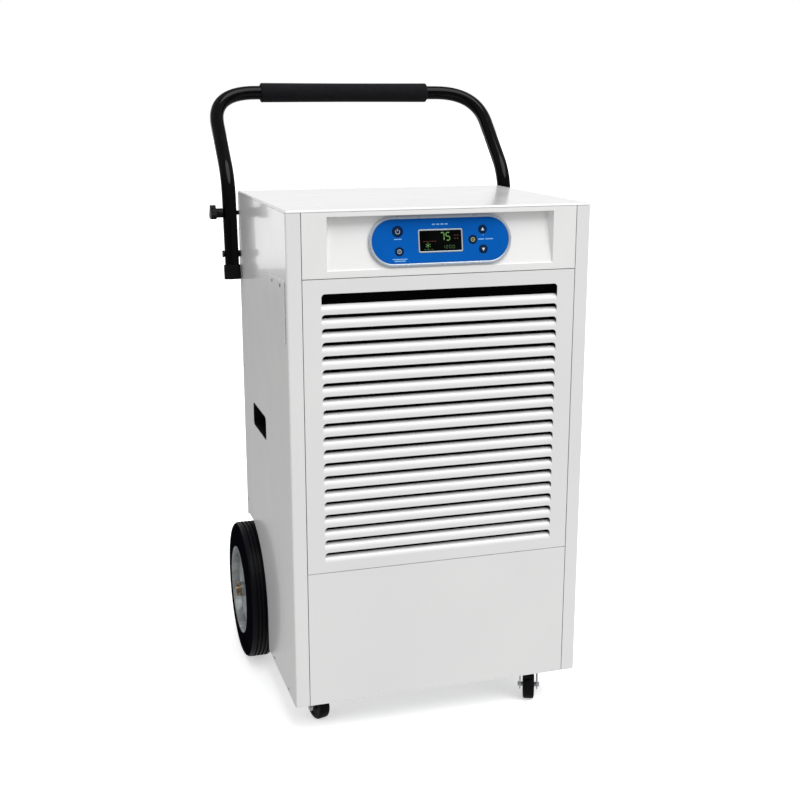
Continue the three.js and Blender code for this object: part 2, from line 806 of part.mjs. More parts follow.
// A clamp knob: three-lobed head, collar and a screw whose tip presses on the side panel.
function clampKnob(side) {
  const at = legPoint(CLAMP_UP);
  const inner = LEG_X + TUBE + 0.6;
  const lobes = [];
  for (let i = 0; i < 3; i += 1) {
    const angle = (i / 3) * Math.PI * 2 + Math.PI / 2;
    const [ly, lz] = [at.y + Math.cos(angle) * 8, at.z + Math.sin(angle) * 8];
    lobes.push(rod("x", 6.5, side * (inner + 12), side * (inner + 22), ly, lz, 12));
  }
  return join(
    rod("x", BOLT, side * (SIDE + GAP), side * (inner + 4), at.y, at.z, 20),
    rod("x", 8.5, side * inner, side * (inner + 13), at.y, at.z, 16),
    rod("x", 10, side * (inner + 12), side * (inner + 22), at.y, at.z, 16),
    ...lobes,
  );
}

// ---- rear wheels ------------------------------------------------------------------------------
// Profiles run from the inboard face (negative) to the outboard face (positive).
// Pressed-steel rim: a hub tube, a dished disc and the seat of the tyre.
function wheelRim(side) {
  const seat = WHEEL.rim;
  const lip = WHEEL.width / 2 - 1;
  const rim = turned(
    [
      [AXLE + 0.1, -19],
      [14, -19],
      [14, 5],
      [58, 11],
      [69, 3],
      [seat - 5, 3],
      [seat - 5, -18],
      [seat, -18],
      [seat, lip],
      [seat - 5, lip],
      [seat - 5, 6],
      [70.5, 6],
      [59.5, 14],
      [14, 8],
      [14, HUB],
      [AXLE + 0.1, HUB],
    ],
    24,
  );
  return mirroredTo(rim, side);
}

function mirroredTo(solid, side) {
  const turn = side < 0 ? new THREE.Matrix4().makeRotationZ(Math.PI) : new THREE.Matrix4();
  turn.setPosition(side * WHEEL.middle, WHEEL.y, WHEEL.z);
  return placed(solid, turn);
}

// Solid rubber tyre with rounded shoulders and three grooves round the tread.
function tyre(side) {
  const half = WHEEL.width / 2;
  const outer = WHEEL.radius;
  const seat = WHEEL.rim + 0.4;
  const groove = (at) => [
    [outer, at - 2.2],
    [outer - 3, at],
    [outer, at + 2.2],
  ];
  const profile = [
    [seat, -half + 2],
    [seat + 5, -half],
    [outer - 11, -half + 2.5],
    [outer - 3, -half + 6],
    [outer, -half + 11],
    ...groove(-5),
    ...groove(5),
    [outer, half - 11],
    [outer - 3, half - 6],
    [outer - 11, half - 2.5],
    [seat + 5, half],
    [seat, half - 2],
  ];
  return mirroredTo(turned(profile, 32), side);
}

function axle() {
  const end = WHEEL.middle + HUB + 9;
  const bar = rod("x", AXLE, -end, end, WHEEL.y, WHEEL.z, 16);
  const holes = SIDES.map(([, side]) =>
    rod("z", 1.9, WHEEL.z - 20, WHEEL.z + 20, side * (end - 4), WHEEL.y, 8),
  );
  return cut(bar, ...holes);
}

// A split pin: straight legs through the axle, a loop on top.
function splitPin(side) {
  const x = side * (WHEEL.middle + HUB + 5);
  const legs = rod("z", 1.4, WHEEL.z - 13, WHEEL.z + 10, x, WHEEL.y, 8);
  const loop = cut(
    rod("x", 4, x - 1.3, x + 1.3, WHEEL.y, WHEEL.z + 12.5, 12),
    rod("x", 2, x - 5, x + 5, WHEEL.y, WHEEL.z + 12.5, 8),
  );
  return join(legs, loop);
}

// ---- castors ----------------------------------------------------------------------------------
// A castor's own frame: x points the way it trails, z is up, the origin on the floor at its swivel.
const castorFrame = (name, side) =>
  new THREE.Matrix4()
    .makeRotationZ(THREE.MathUtils.degToRad(CASTOR_ANGLE[name]))
    .setPosition(side * CASTOR.x, CASTOR.y, 0);

function castorPlate(side) {
  const [x, y] = [side * CASTOR.x, CASTOR.y];
  return join(
    block(x - 30, x + 30, y - 25, y + 25, BASE - GAP - 2.5, BASE - GAP),
    rod("z", 17, BASE - 5, BASE - 1, x, y, 20),
  );
}

function castorFork() {
  const crown = join(
    block(-15, 27, -16, 16, 55.5, 57.5),
    rod("z", 15, 55.5, BASE - 5 - GAP, 0, 0, 20),
  );
  const cheek = polygon([
    [-15, 57.5],
    [27, 57.5],
    [29, 48],
    [27, 20],
    [20, 15],
    [13, 20],
    [9, 34],
    [-15, 50],
  ]);
  const cheeks = SIDES.map(([, side]) => {
    const plate = extruded("z", cheek, 0, 2);
    const stand = new THREE.Matrix4().makeBasis(
      new THREE.Vector3(1, 0, 0),
      new THREE.Vector3(0, 0, 1),
      new THREE.Vector3(0, -1, 0),
    );
    stand.setPosition(0, side > 0 ? 16 : -14, 0);
    return placed(plate, stand);
  });
  const rivet = rod("y", 4, -19, 19, CASTOR.trail, CASTOR.radius, 12);
  return join(crown, ...cheeks, rivet);
}

function castorWheel() {
  const half = CASTOR.width / 2;
  const wheel = turned(
    [
      [4.2, -half],
      [CASTOR.radius - 3, -half],
      [CASTOR.radius, -half + 4],
      [CASTOR.radius, half - 4],
      [CASTOR.radius - 3, half],
      [4.2, half],
    ],
    24,
  );
  const across = new THREE.Matrix4()
    .makeRotationZ(Math.PI / 2)
    .setPosition(CASTOR.trail, 0, CASTOR.radius);
  return placed(wheel, across);
}

function castorBrake() {
  return join(
    rod("y", 1.7, -11.6, 11.6, 24, 53.1, 10),
    block(24, 46, -9, 9, 52.2, 54.2),
    block(44, 46, -9, 9, 48, 54.2),
  );
}

// ---- put it together --------------------------------------------------------------------------
add("base_pan", basePan(), ZINC);
for (const [name, side] of SIDES) {
  add("side_panel_" + name, sidePanel(side), WHITE);
  add("wheel_well_" + name, wheelWell(side), WHITE);
  add("side_grip_" + name, sideGrip(side), BLACK_PLASTIC);
}
add("top_cover", topCover(), WHITE);
add("rear_panel", rearPanel(), WHITE);
add("front_grille", frontGrille(), WHITE);
add("lower_front_panel", lowerPanel(), WHITE);
add("service_cover", serviceCover(), WHITE);

add("control_fascia", controlFascia(), SHELL);
add("control_bezel", controlBezel(), SILVER);
add("control_plate", controlPlate(), BLUE);
add("display_window", onPill(displayOutline(GAP), GAP, 3.8, 3), GLASS);
for (const [name, key] of Object.entries(KEYS)) {
  add(name, onPill(disc(key.x, key.y, key.radius), 1.9, 3.9, 8), KEY);
}
add("control_board", block(-105, 105, 26, 28, FASCIA_Z + 12, FRAME_TOP - 12), BOARD);

add("air_filter", airFilter(), FILTER);
add("evaporator_coil", coil(44, 90, 4), ALUMINIUM);
add("condenser_coil", coil(108, 152, 4), ALUMINIUM);
add("drip_tray", dripTray(), BLACK_PLASTIC);
add("fan_shroud", fanShroud(), ZINC);
add("fan_impeller", fanImpeller(), BLACK_PLASTIC);
add("fan_motor", fanMotor(), BLACK_STEEL);
add("motor_bracket", motorBracket(), ZINC);
add("compressor", compressor(), BLACK_STEEL);
add("accumulator", accumulator(), BLACK_STEEL);
add("discharge_pipe", dischargePipe(), COPPER);
add("suction_pipe", suctionPipe(), COPPER);
add("electrical_box", electricalBox(), ZINC);
add("drain_hose", drainHose(), RUBBER);
add("drain_outlet", drainOutlet(), BLACK_PLASTIC);
add("cable_gland", cableGland(), BLACK_PLASTIC);

add("handle_tube", handleTube(), BLACK_STEEL);
add("handle_grip", handleGrip(), FOAM);
for (const [name, side] of SIDES) {
  add("leg_cap_" + name, legCap(side), BLACK_PLASTIC);
  add("pivot_bolt_" + name, pivotBolt(side), BLACK_STEEL);
  add("clamp_knob_" + name, clampKnob(side), BLACK_PLASTIC);
}

add("wheel_axle", axle(), ZINC);
for (const [name, side] of SIDES) {
  add("wheel_rim_" + name, wheelRim(side), ZINC);
  add("tyre_" + name, tyre(side), RUBBER);
  add("split_pin_" + name, splitPin(side), ZINC);
}

for (const [name, side] of SIDES) {
  const frame = castorFrame(name, side);
  add("castor_plate_" + name, castorPlate(side), ZINC);
  add("castor_fork_" + name, placed(castorFork(), frame), ZINC);
  add("castor_wheel_" + name, placed(castorWheel(), frame), BLACK_PLASTIC);
}
add("castor_brake_right", placed(castorBrake(), castorFrame("right", 1)), BLACK_PLASTIC);

// Middle of the whole object over the origin, wheels on the floor.
const bounds = new THREE.Box3().setFromObject(dehumidifier);
const middle = bounds.getCenter(new THREE.Vector3());
for (const mesh of dehumidifier.children) {
  mesh.geometry.translate(-middle.x, -middle.y, -bounds.min.z);
}

export default dehumidifier;
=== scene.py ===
# The look of the commercial dehumidifier. Metres, +Z up, the front faces -Y, the floor is z = 0.
import json
import math

import bpy
from mathutils import Matrix, Vector


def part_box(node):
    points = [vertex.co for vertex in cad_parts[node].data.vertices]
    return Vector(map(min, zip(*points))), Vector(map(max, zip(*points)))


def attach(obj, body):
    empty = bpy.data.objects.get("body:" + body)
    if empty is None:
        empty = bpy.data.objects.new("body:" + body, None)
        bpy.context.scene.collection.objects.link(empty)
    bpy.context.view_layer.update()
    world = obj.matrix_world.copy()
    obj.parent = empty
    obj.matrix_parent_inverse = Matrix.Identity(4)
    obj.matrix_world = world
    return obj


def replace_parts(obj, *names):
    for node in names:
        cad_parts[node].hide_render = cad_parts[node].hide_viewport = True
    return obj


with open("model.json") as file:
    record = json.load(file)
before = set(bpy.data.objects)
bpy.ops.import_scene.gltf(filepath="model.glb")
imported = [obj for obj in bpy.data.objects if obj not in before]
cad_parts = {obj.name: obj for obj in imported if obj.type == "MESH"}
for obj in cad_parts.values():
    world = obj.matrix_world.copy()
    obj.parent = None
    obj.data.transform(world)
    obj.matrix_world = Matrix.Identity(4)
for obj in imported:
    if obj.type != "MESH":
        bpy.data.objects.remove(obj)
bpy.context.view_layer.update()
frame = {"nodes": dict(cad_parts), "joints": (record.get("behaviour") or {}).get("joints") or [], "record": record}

# ---- sizes shared by the pieces ----------------------------------------------------------------
MM = 0.001
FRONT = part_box("front_grille")[0].y
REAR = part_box("rear_panel")[1].y
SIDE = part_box("side_panel_right")[1].x
SIDES = (("left", -1), ("right", 1))


def from_front(x, y, z):
    """A point given in millimetres from the middle of the front face and from the floor."""
    return Vector((x * MM, FRONT + y * MM, z * MM))


# ---- mesh helpers ------------------------------------------------------------------------------
def place(obj, body, slot):
    """Links a finished object, gives it its material slot's look and lets it ride on its body."""
    bpy.context.scene.collection.objects.link(obj)
    if obj.type == "MESH" and not obj.data.materials:
        obj.data.materials.append(LOOKS[slot])
    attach(obj, body)
    return obj


def paint(mesh, material):
    """Gives a mesh one look all over."""
    mesh.materials.clear()
    mesh.materials.append(material)


def even_normals(obj):
    """Large flat faces keep their own normal, so reflections in them stay straight."""
    weighted = obj.modifiers.new("even normals", "WEIGHTED_NORMAL")
    weighted.weight = 100
    weighted.keep_sharp = True


def smooth(mesh, angle=35):
    """Smooth shading, with edges sharper than the angle left crisp."""
    for face in mesh.polygons:
        face.use_smooth = True
    mesh.set_sharp_from_angle(angle=math.radians(angle))


def mesh_object(name, vertices, faces, body, slot, matrix=None, angle=35):
    """A placed object from vertices and faces in metres."""
    mesh = bpy.data.meshes.new(name)
    mesh.from_pydata([tuple(v) for v in vertices], [], faces)
    if matrix is not None:
        mesh.transform(matrix)
    mesh.validate()
    smooth(mesh, angle)
    return place(bpy.data.objects.new(name, mesh), body, slot)


def turned_mesh(profile, sides):
    """Vertices and faces of a closed profile of (radius, along) turned round the x axis."""
    vertices = []
    for i in range(sides):
        a = 2 * math.pi * i / sides
        for radius, along in profile:
            vertices.append((along * MM, radius * MM * math.cos(a), radius * MM * math.sin(a)))
    count = len(profile)
    faces = []
    for i in range(sides):
        j = (i + 1) % sides
        for k in range(count):
            m = (k + 1) % count
            faces.append((i * count + k, i * count + m, j * count + m, j * count + k))
    return vertices, faces


def turned(name, profile, body, slot, matrix, sides=96, angle=35):
    """A placed turned piece; the matrix brings its x axis to where it belongs."""
    vertices, faces = turned_mesh(profile, sides)
    return mesh_object(name, vertices, faces, body, slot, matrix, angle)


def rounded_path(corners, reaches, steps=14):
    """Straight runs joined by smooth bends, each starting its own distance before its corner."""
    path = [corners[0]]
    for before, corner, after, reach in zip(corners, corners[1:], corners[2:], reaches):
        start = corner + (before - corner).normalized() * reach
        end = corner + (after - corner).normalized() * reach
        for i in range(steps + 1):
            t = i / steps
            path.append(start * (1 - t) ** 2 + corner * 2 * t * (1 - t) + end * t ** 2)
    path.append(corners[-1])
    return path


def swept(name, path, radius, body, slot, sides=28):
    """A round bar along a path; the ring is carried along without twisting."""
    tangents = []
    for i in range(len(path)):
        ahead = path[min(i + 1, len(path) - 1)]
        behind = path[max(i - 1, 0)]
        tangents.append((ahead - behind).normalized())
    normal = tangents[0].orthogonal().normalized()
    vertices = []
    for i, (point, tangent) in enumerate(zip(path, tangents)):
        if i:
            normal = tangents[i - 1].rotation_difference(tangent) @ normal
        side = tangent.cross(normal)
        for k in range(sides):
            a = 2 * math.pi * k / sides
            vertices.append(point + (normal * math.cos(a) + side * math.sin(a)) * radius)
    faces = [tuple(reversed(range(sides)))]
    for i in range(len(path) - 1):
        for k in range(sides):
            m = (k + 1) % sides
            low, high = i * sides, (i + 1) * sides
            faces.append((low + k, low + m, high + m, high + k))
    faces.append(tuple((len(path) - 1) * sides + k for k in range(sides)))
    return mesh_object(name, vertices, faces, body, slot, angle=50)


def arc(cx, cy, radius, start, end, steps):
    """Points on an arc, angles in degrees."""
    points = []
    for i in range(steps + 1):
        a = math.radians(start + (end - start) * i / steps)
        points.append((cx + radius * math.cos(a), cy + radius * math.sin(a)))
    return points


def round_rect(x0, x1, y0, y1, radius, steps=8):
    """A rectangle with round corners, counterclockwise."""
    return (
        arc(x1 - radius, y0 + radius, radius, -90, 0, steps)
        + arc(x1 - radius, y1 - radius, radius, 0, 90, steps)
        + arc(x0 + radius, y1 - radius, radius, 90, 180, steps)
        + arc(x0 + radius, y0 + radius, radius, 180, 270, steps)
    )


def circle(cx, cy, radius, steps=48):
    """A circle without its last point, which would repeat the first."""
    return arc(cx, cy, radius, 0, 360 * (steps - 1) / steps, steps - 1)


def bar(x0, x1, y0, y1):
    """A plain rectangle, counterclockwise."""
    return [(x0, y0), (x1, y0), (x1, y1), (x0, y1)]


def flat_mesh(name, loops, low, high, edge):
    """A flat plate from outlines in millimetres (the first is the rim, the rest are holes)."""
    curve = bpy.data.curves.new(name, "CURVE")
    curve.dimensions = "2D"
    curve.fill_mode = "BOTH"
    curve.extrude = (high - low) / 2 * MM - edge * MM
    curve.bevel_depth = edge * MM
    curve.bevel_resolution = 2
    curve.offset = -edge * MM
    for loop in loops:
        spline = curve.splines.new("POLY")
        spline.points.add(len(loop) - 1)
        for point, (x, y) in zip(spline.points, loop):
            point.co = (x * MM, y * MM, 0, 1)
        spline.use_cyclic_u = True
    maker = bpy.data.objects.new(name, curve)
    bpy.context.scene.collection.objects.link(maker)
    bpy.context.view_layer.update()
    evaluated = maker.evaluated_get(bpy.context.evaluated_depsgraph_get())
    mesh = bpy.data.meshes.new_from_object(evaluated)
    bpy.data.objects.remove(maker)
    bpy.data.curves.remove(curve)
    mesh.name = name
    mesh.transform(Matrix.Translation((0, 0, (low + high) / 2 * MM)))
    return mesh


def flat_piece(name, loops, low, high, edge, matrix, body, slot):
    """A placed plate between two heights, its edges rounded by the edge radius."""
    mesh = flat_mesh(name, loops, low, high, edge)
    mesh.transform(matrix)
    smooth(mesh, 50)
    piece = bpy.data.objects.new(name, mesh)
    even_normals(piece)
    return place(piece, body, slot)


def merged(name, pieces):
    """Joins pieces on one body into the first one."""
    with bpy.context.temp_override(active_object=pieces[0], selected_editable_objects=pieces):
        bpy.ops.object.join()
    pieces[0].name = name
    pieces[0].data.name = name
    return pieces[0]


# ---- material helpers --------------------------------------------------------------------------
class Look:
    """A node material with the few steps that the looks below share."""

    def __init__(self, name):
        self.material = bpy.data.materials.new(name)
        self.material.use_nodes = True
        self.nodes = self.material.node_tree.nodes
        self.links = self.material.node_tree.links
        self.shader = self.nodes["Principled BSDF"]
        self.place = self.nodes.new("ShaderNodeTexCoord").outputs["Object"]

    def set(self, **values):
        """Sets the shader's own inputs; an underscore stands for a space."""
        for name, value in values.items():
            self.shader.inputs[name.replace("_", " ")].default_value = value
        return self

    def noise(self, scale, detail=3, roughness=0.5, stretch=None):
        """Smooth noise over the object, 0 to 1; a stretch makes it streaky."""
        node = self.nodes.new("ShaderNodeTexNoise")
        node.inputs["Scale"].default_value = scale
        node.inputs["Detail"].default_value = detail
        node.inputs["Roughness"].default_value = roughness
        place = self.place
        if stretch:
            mapping = self.nodes.new("ShaderNodeMapping")
            mapping.inputs["Scale"].default_value = stretch
            self.links.new(place, mapping.inputs["Vector"])
            place = mapping.outputs["Vector"]
        self.links.new(place, node.inputs["Vector"])
        return node.outputs["Fac"]

    def cells(self, scale, feature="F1"):
        """A cell pattern over the object."""
        node = self.nodes.new("ShaderNodeTexVoronoi")
        node.feature = feature
        node.inputs["Scale"].default_value = scale
        self.links.new(self.place, node.inputs["Vector"])
        return node

    def ramp(self, value, stops):
        """A colour for each value, blended between the stops."""
        node = self.nodes.new("ShaderNodeValToRGB")
        self.links.new(value, node.inputs["Fac"])
        elements = node.color_ramp.elements
        while len(elements) < len(stops):
            elements.new(1)
        for element, (at, color) in zip(elements, stops):
            element.position = at
            element.color = (*color, 1)
        return node.outputs["Color"]

    def spread(self, value, low, high, start=0.3, end=0.7):
        """Maps a value from start-end to low-high."""
        node = self.nodes.new("ShaderNodeMapRange")
        node.inputs["From Min"].default_value = start
        node.inputs["From Max"].default_value = end
        node.inputs["To Min"].default_value = low
        node.inputs["To Max"].default_value = high
        self.links.new(value, node.inputs["Value"])
        return node.outputs["Result"]

    def mix(self, factor, a, b):
        """Blends two colours."""
        node = self.nodes.new("ShaderNodeMix")
        node.data_type = "RGBA"
        self.feed(factor, node.inputs["Factor"])
        self.feed(a, node.inputs["A"])
        self.feed(b, node.inputs["B"])
        return node.outputs["Result"]

    def feed(self, value, socket):
        """Connects a socket, or sets a plain colour or number."""
        if isinstance(value, bpy.types.NodeSocket):
            self.links.new(value, socket)
        elif isinstance(value, tuple):
            socket.default_value = (*value, 1)
        else:
            socket.default_value = value

    def color(self, value):
        self.links.new(value, self.shader.inputs["Base Color"])
        return self

    def rough(self, value):
        self.links.new(value, self.shader.inputs["Roughness"])
        return self

    def bump(self, value, strength, distance):
        """Surface relief; the distance is in millimetres."""
        node = self.nodes.new("ShaderNodeBump")
        node.inputs["Strength"].default_value = strength
        node.inputs["Distance"].default_value = distance * MM
        self.links.new(value, node.inputs["Height"])
        self.links.new(node.outputs["Normal"], self.shader.inputs["Normal"])
        return self


# ---- the looks ---------------------------------------------------------------------------------
def white_enamel():
    """Gloss powder coat: faint orange peel, slightly uneven gloss, a trace of grime in the tone."""
    look = Look("white_enamel")
    look.set(Specular_IOR_Level=0.32, Coat_Weight=0.22, Coat_Roughness=0.03)
    tone = look.ramp(look.noise(3.0, 4), [(0.3, (0.80, 0.80, 0.80)), (0.7, (0.84, 0.84, 0.835))])
    look.color(tone)
    look.rough(look.spread(look.noise(12.0, 3), 0.16, 0.22))
    look.bump(look.noise(420.0, 1), 0.04, 0.08)
    return look.material


def white_plastic():
    """Moulded fascia plastic: a fine spark-eroded grain and a soft gloss."""
    look = Look("white_plastic")
    look.set(Specular_IOR_Level=0.45)
    tone = look.ramp(look.noise(5.0, 3), [(0.3, (0.875, 0.87, 0.865)), (0.7, (0.905, 0.90, 0.895))])
    look.color(tone)
    look.rough(look.spread(look.noise(30.0, 2), 0.28, 0.38))
    look.bump(look.noise(1400.0, 2), 0.08, 0.08)
    return look.material


def black_enamel():
    """Gloss black tube paint with fine dust and light scuffs."""
    look = Look("black_enamel")
    look.set(Specular_IOR_Level=0.08, Coat_Weight=0.08, Coat_Roughness=0.04)
    scuff = look.noise(60.0, 6, 0.7, stretch=(1, 1, 0.2))
    look.color(look.ramp(scuff, [(0.5, (0.001, 0.001, 0.0015)), (0.85, (0.004, 0.004, 0.005))]))
    look.rough(look.spread(scuff, 0.07, 0.18))
    look.bump(look.noise(300.0, 1), 0.03, 0.05)
    return look.material


def black_plastic():
    """Moulded black plastic: grained, semi-matt, greyer where it is handled."""
    look = Look("black_plastic")
    look.set(Specular_IOR_Level=0.09)
    handled = look.noise(40.0, 5, 0.65)
    look.color(look.ramp(handled, [(0.35, (0.004, 0.004, 0.0045)), (0.8, (0.012, 0.012, 0.014))]))
    look.rough(look.spread(look.noise(90.0, 3), 0.38, 0.56))
    look.bump(look.noise(1500.0, 2), 0.15, 0.1)
    return look.material


def foam():
    """Closed-cell foam sleeve: fine pores and a dull skin."""
    look = Look("foam")
    look.set(Sheen_Weight=0.05, Sheen_Roughness=0.5, Specular_IOR_Level=0.12)
    pores = look.noise(1100.0, 4, 0.7)
    look.color(look.ramp(pores, [(0.35, (0.003, 0.003, 0.004)), (0.75, (0.014, 0.014, 0.017))]))
    look.rough(look.spread(look.noise(70.0, 3), 0.78, 0.95))
    look.bump(pores, 0.6, 0.35)
    return look.material


def rubber():
    """Black rubber hose: smooth with a faint bloom."""
    look = Look("rubber")
    bloom = look.noise(35.0, 5)
    look.color(look.ramp(bloom, [(0.35, (0.012, 0.012, 0.013)), (0.75, (0.03, 0.03, 0.03))]))
    look.rough(look.spread(look.noise(120.0, 3), 0.5, 0.7))
    look.bump(look.noise(600.0, 2), 0.1, 0.12)
    return look.material


def tyre_rubber(name, gloss):
    """Solid tyre: bluish-black, dusty in patches, with a moulded grain."""
    look = Look(name)
    look.set(Specular_IOR_Level=gloss)
    dust = look.noise(22.0, 6, 0.65)
    clean, worn, dusty = (0.003, 0.003, 0.0045), (0.0045, 0.0046, 0.007), (0.011, 0.011, 0.014)
    look.color(look.ramp(dust, [(0.35, clean), (0.65, worn), (0.9, dusty)]))
    look.rough(look.spread(dust, 0.34, 0.56))
    look.bump(look.noise(900.0, 3), 0.2, 0.15)
    return look.material


def zinc():
    """Zinc-plated steel: soft crystal patches, uneven satin gloss."""
    look = Look("zinc")
    look.set(Metallic=1.0)
    patches = look.cells(70.0).outputs["Color"]
    grey = look.ramp(patches, [(0.0, (0.50, 0.51, 0.53)), (1.0, (0.66, 0.67, 0.69))])
    stain = look.noise(26.0, 5, 0.6)
    look.color(look.mix(look.spread(stain, 0.0, 0.35, 0.5, 0.8), grey, (0.34, 0.34, 0.35)))
    look.rough(look.spread(stain, 0.26, 0.46))
    look.bump(look.noise(700.0, 2), 0.08, 0.08)
    return look.material


def galvanised():
    """Bright pressed-steel rim: pale, spangled and semi-matt."""
    look = Look("galvanised")
    look.set(Metallic=0.75)
    patches = look.cells(110.0).outputs["Color"]
    grey = look.ramp(patches, [(0.0, (0.34, 0.37, 0.37)), (1.0, (0.50, 0.53, 0.53))])
    stain = look.noise(30.0, 5, 0.6)
    look.color(look.mix(look.spread(stain, 0.0, 0.6, 0.45, 0.7), grey, (0.16, 0.165, 0.165)))
    look.rough(look.spread(stain, 0.30, 0.52))
    look.bump(look.noise(500.0, 2), 0.1, 0.1)
    return look.material


def silver():
    """Silver-painted trim: fine metal flake with a satin gloss."""
    look = Look("silver")
    look.set(Metallic=0.3)
    flake = look.noise(1600.0, 1)
    look.color(look.ramp(flake, [(0.3, (0.44, 0.50, 0.57)), (0.7, (0.52, 0.58, 0.65))]))
    look.rough(look.spread(look.noise(60.0, 2), 0.24, 0.34))
    look.bump(look.noise(900.0, 1), 0.02, 0.03)
    return look.material


def blue_panel():
    """Printed blue overlay film: even colour with a fine matt texture."""
    look = Look("blue_panel")
    look.set(Specular_IOR_Level=0.06)
    tone = look.ramp(look.noise(14.0, 3), [(0.3, (0.0003, 0.096, 0.42)), (0.7, (0.0006, 0.108, 0.47))])
    look.color(tone)
    look.rough(look.spread(look.noise(200.0, 2), 0.42, 0.52))
    look.bump(look.noise(2400.0, 1), 0.08, 0.04)
    return look.material


def display_glass():
    """Black display window: deep gloss with faint smears."""
    look = Look("display")
    look.set(Specular_IOR_Level=0.03)
    depth = look.noise(25.0, 2)
    look.color(look.ramp(depth, [(0.3, (0.001, 0.0015, 0.0015)), (0.7, (0.003, 0.0035, 0.0035))]))
    look.rough(look.spread(look.noise(45.0, 4), 0.06, 0.16))
    return look.material


def lit(name, dim, bright, strength):
    """A lit display segment; the light varies a little along it."""
    look = Look(name)
    look.set(Emission_Strength=strength, Roughness=0.5)
    glow = look.ramp(look.noise(500.0, 2), [(0.3, dim), (0.7, bright)])
    look.color(glow)
    look.links.new(glow, look.shader.inputs["Emission Color"])
    return look.material


def key_cap():
    """Soft navy key with a satin face."""
    look = Look("key")
    look.set(Specular_IOR_Level=0.06)
    tone = look.noise(90.0, 3)
    look.color(look.ramp(tone, [(0.3, (0.002, 0.015, 0.050)), (0.7, (0.004, 0.022, 0.066))]))
    look.rough(look.spread(look.noise(300.0, 2), 0.32, 0.48))
    look.bump(look.noise(1500.0, 1), 0.1, 0.05)
    return look.material


def ink(name, low, high):
    """Printed marks: matt ink with a little unevenness."""
    look = Look(name)
    look.color(look.ramp(look.noise(600.0, 2), [(0.3, low), (0.7, high)]))
    look.rough(look.spread(look.noise(200.0, 2), 0.4, 0.55))
    return look.material


def aluminium():
    """Coil fins: fine upright lines with tarnish."""
    look = Look("aluminium")
    look.set(Metallic=1.0)
    fins = look.noise(500.0, 1, stretch=(1, 0.02, 0.02))
    look.color(look.ramp(fins, [(0.4, (0.25, 0.26, 0.27)), (0.6, (0.72, 0.73, 0.75))]))
    look.rough(look.spread(look.noise(20.0, 4), 0.35, 0.55))
    look.bump(fins, 0.6, 0.6)
    return look.material


def copper():
    """Refrigerant pipe: drawn copper with dull spots."""
    look = Look("copper")
    look.set(Metallic=1.0)
    look.color(look.ramp(look.noise(40.0, 5), [(0.35, (0.55, 0.24, 0.13)), (0.7, (0.80, 0.42, 0.27))]))
    look.rough(look.spread(look.noise(60.0, 4), 0.25, 0.5))
    look.bump(look.noise(400.0, 2), 0.05, 0.1)
    return look.material


def circuit_board():
    """Green laminate with faint track relief."""
    look = Look("circuit_board")
    tracks = look.cells(260.0, "DISTANCE_TO_EDGE").outputs["Distance"]
    look.color(look.ramp(tracks, [(0.02, (0.03, 0.20, 0.08)), (0.1, (0.01, 0.10, 0.05))]))
    look.rough(look.spread(look.noise(80.0, 2), 0.35, 0.5))
    look.bump(tracks, 0.3, 0.1)
    return look.material


def filter_mesh_with_painted_shade():
    """Dark woven filter mesh: a fine square grid, painted near-black as shade inside the cabinet behind the air
    slots.
    """
    look = Look("filter")
    look.set(Specular_IOR_Level=0.05)
    weave = look.cells(900.0, "DISTANCE_TO_EDGE").outputs["Distance"]
    # Painted shade: the weave is kept near-black so the slots in front of it read as deep shadow.
    look.color(look.ramp(weave, [(0.05, (0.003, 0.003, 0.003)), (0.3, (0.001, 0.001, 0.001))]))
    look.rough(look.spread(look.noise(60.0, 3), 0.8, 0.95))
    look.bump(weave, 0.7, 0.4)
    return look.material


def passivated():
    """Yellow-passivated hub fittings: bronze to straw, uneven."""
    look = Look("passivated")
    look.set(Metallic=1.0)
    look.color(look.ramp(look.noise(160.0, 4), [(0.3, (0.22, 0.13, 0.06)), (0.7, (0.50, 0.40, 0.28))]))
    look.rough(look.spread(look.noise(200.0, 3), 0.28, 0.45))
    return look.material


LOOKS = {
    "white_enamel": white_enamel(),
    "white_plastic": white_plastic(),
    "black_enamel": black_enamel(),
    "black_plastic": black_plastic(),
    "foam": foam(),
    "rubber": rubber(),
    "tyre": tyre_rubber("tyre", 0.12),
    "zinc": zinc(),
    "silver": silver(),
    "blue_panel": blue_panel(),
    "display": display_glass(),
    "key": key_cap(),
    "aluminium": aluminium(),
    "copper": copper(),
    "circuit_board": circuit_board(),
    "filter": filter_mesh_with_painted_shade(),
}
GALVANISED = galvanised()
TYRE_FLANK = tyre_rubber("tyre_flank", 0.0)
PASSIVATED = passivated()
PALE_BLUE_INK = ink("pale_blue_ink", (0.16, 0.42, 0.78), (0.26, 0.52, 0.86))
WHITE_INK = ink("white_ink", (0.62, 0.66, 0.72), (0.80, 0.83, 0.88))
GREY_INK = ink("grey_ink", (0.30, 0.32, 0.34), (0.42, 0.44, 0.46))
OLIVE_INK = ink("olive_ink", (0.30, 0.32, 0.10), (0.42, 0.45, 0.16))
GREEN_LIGHT = lit("green_light", (0.05, 0.13, 0.03), (0.09, 0.20, 0.045), 1.0)
DIM_GREEN = lit("dim_green", (0.02, 0.05, 0.01), (0.03, 0.08, 0.015), 0.6)
RED_LIGHT = lit("red_light", (0.05, 0.010, 0.006), (0.08, 0.014, 0.008), 0.5)


# ---- carried-over CAD nodes --------------------------------------------------------------------
def dress_cad(name, slot, edge):
    """A CAD node keeps its shape and gets a node material and finely rounded edges."""
    node = frame["nodes"][name]
    paint(node.data, LOOKS[slot])
    if "custom_normal" in node.data.attributes:
        node.data.attributes.remove(node.data.attributes["custom_normal"])
    for face in node.data.polygons:
        face.use_smooth = True
        face.material_index = 0
    weld = node.modifiers.new("weld", "WELD")
    weld.merge_threshold = 0.01 * MM
    bevel = node.modifiers.new("edge", "BEVEL")
    bevel.width = edge * MM
    bevel.segments = 2
    bevel.limit_method = "ANGLE"
    bevel.angle_limit = math.radians(38)
    even_normals(node)


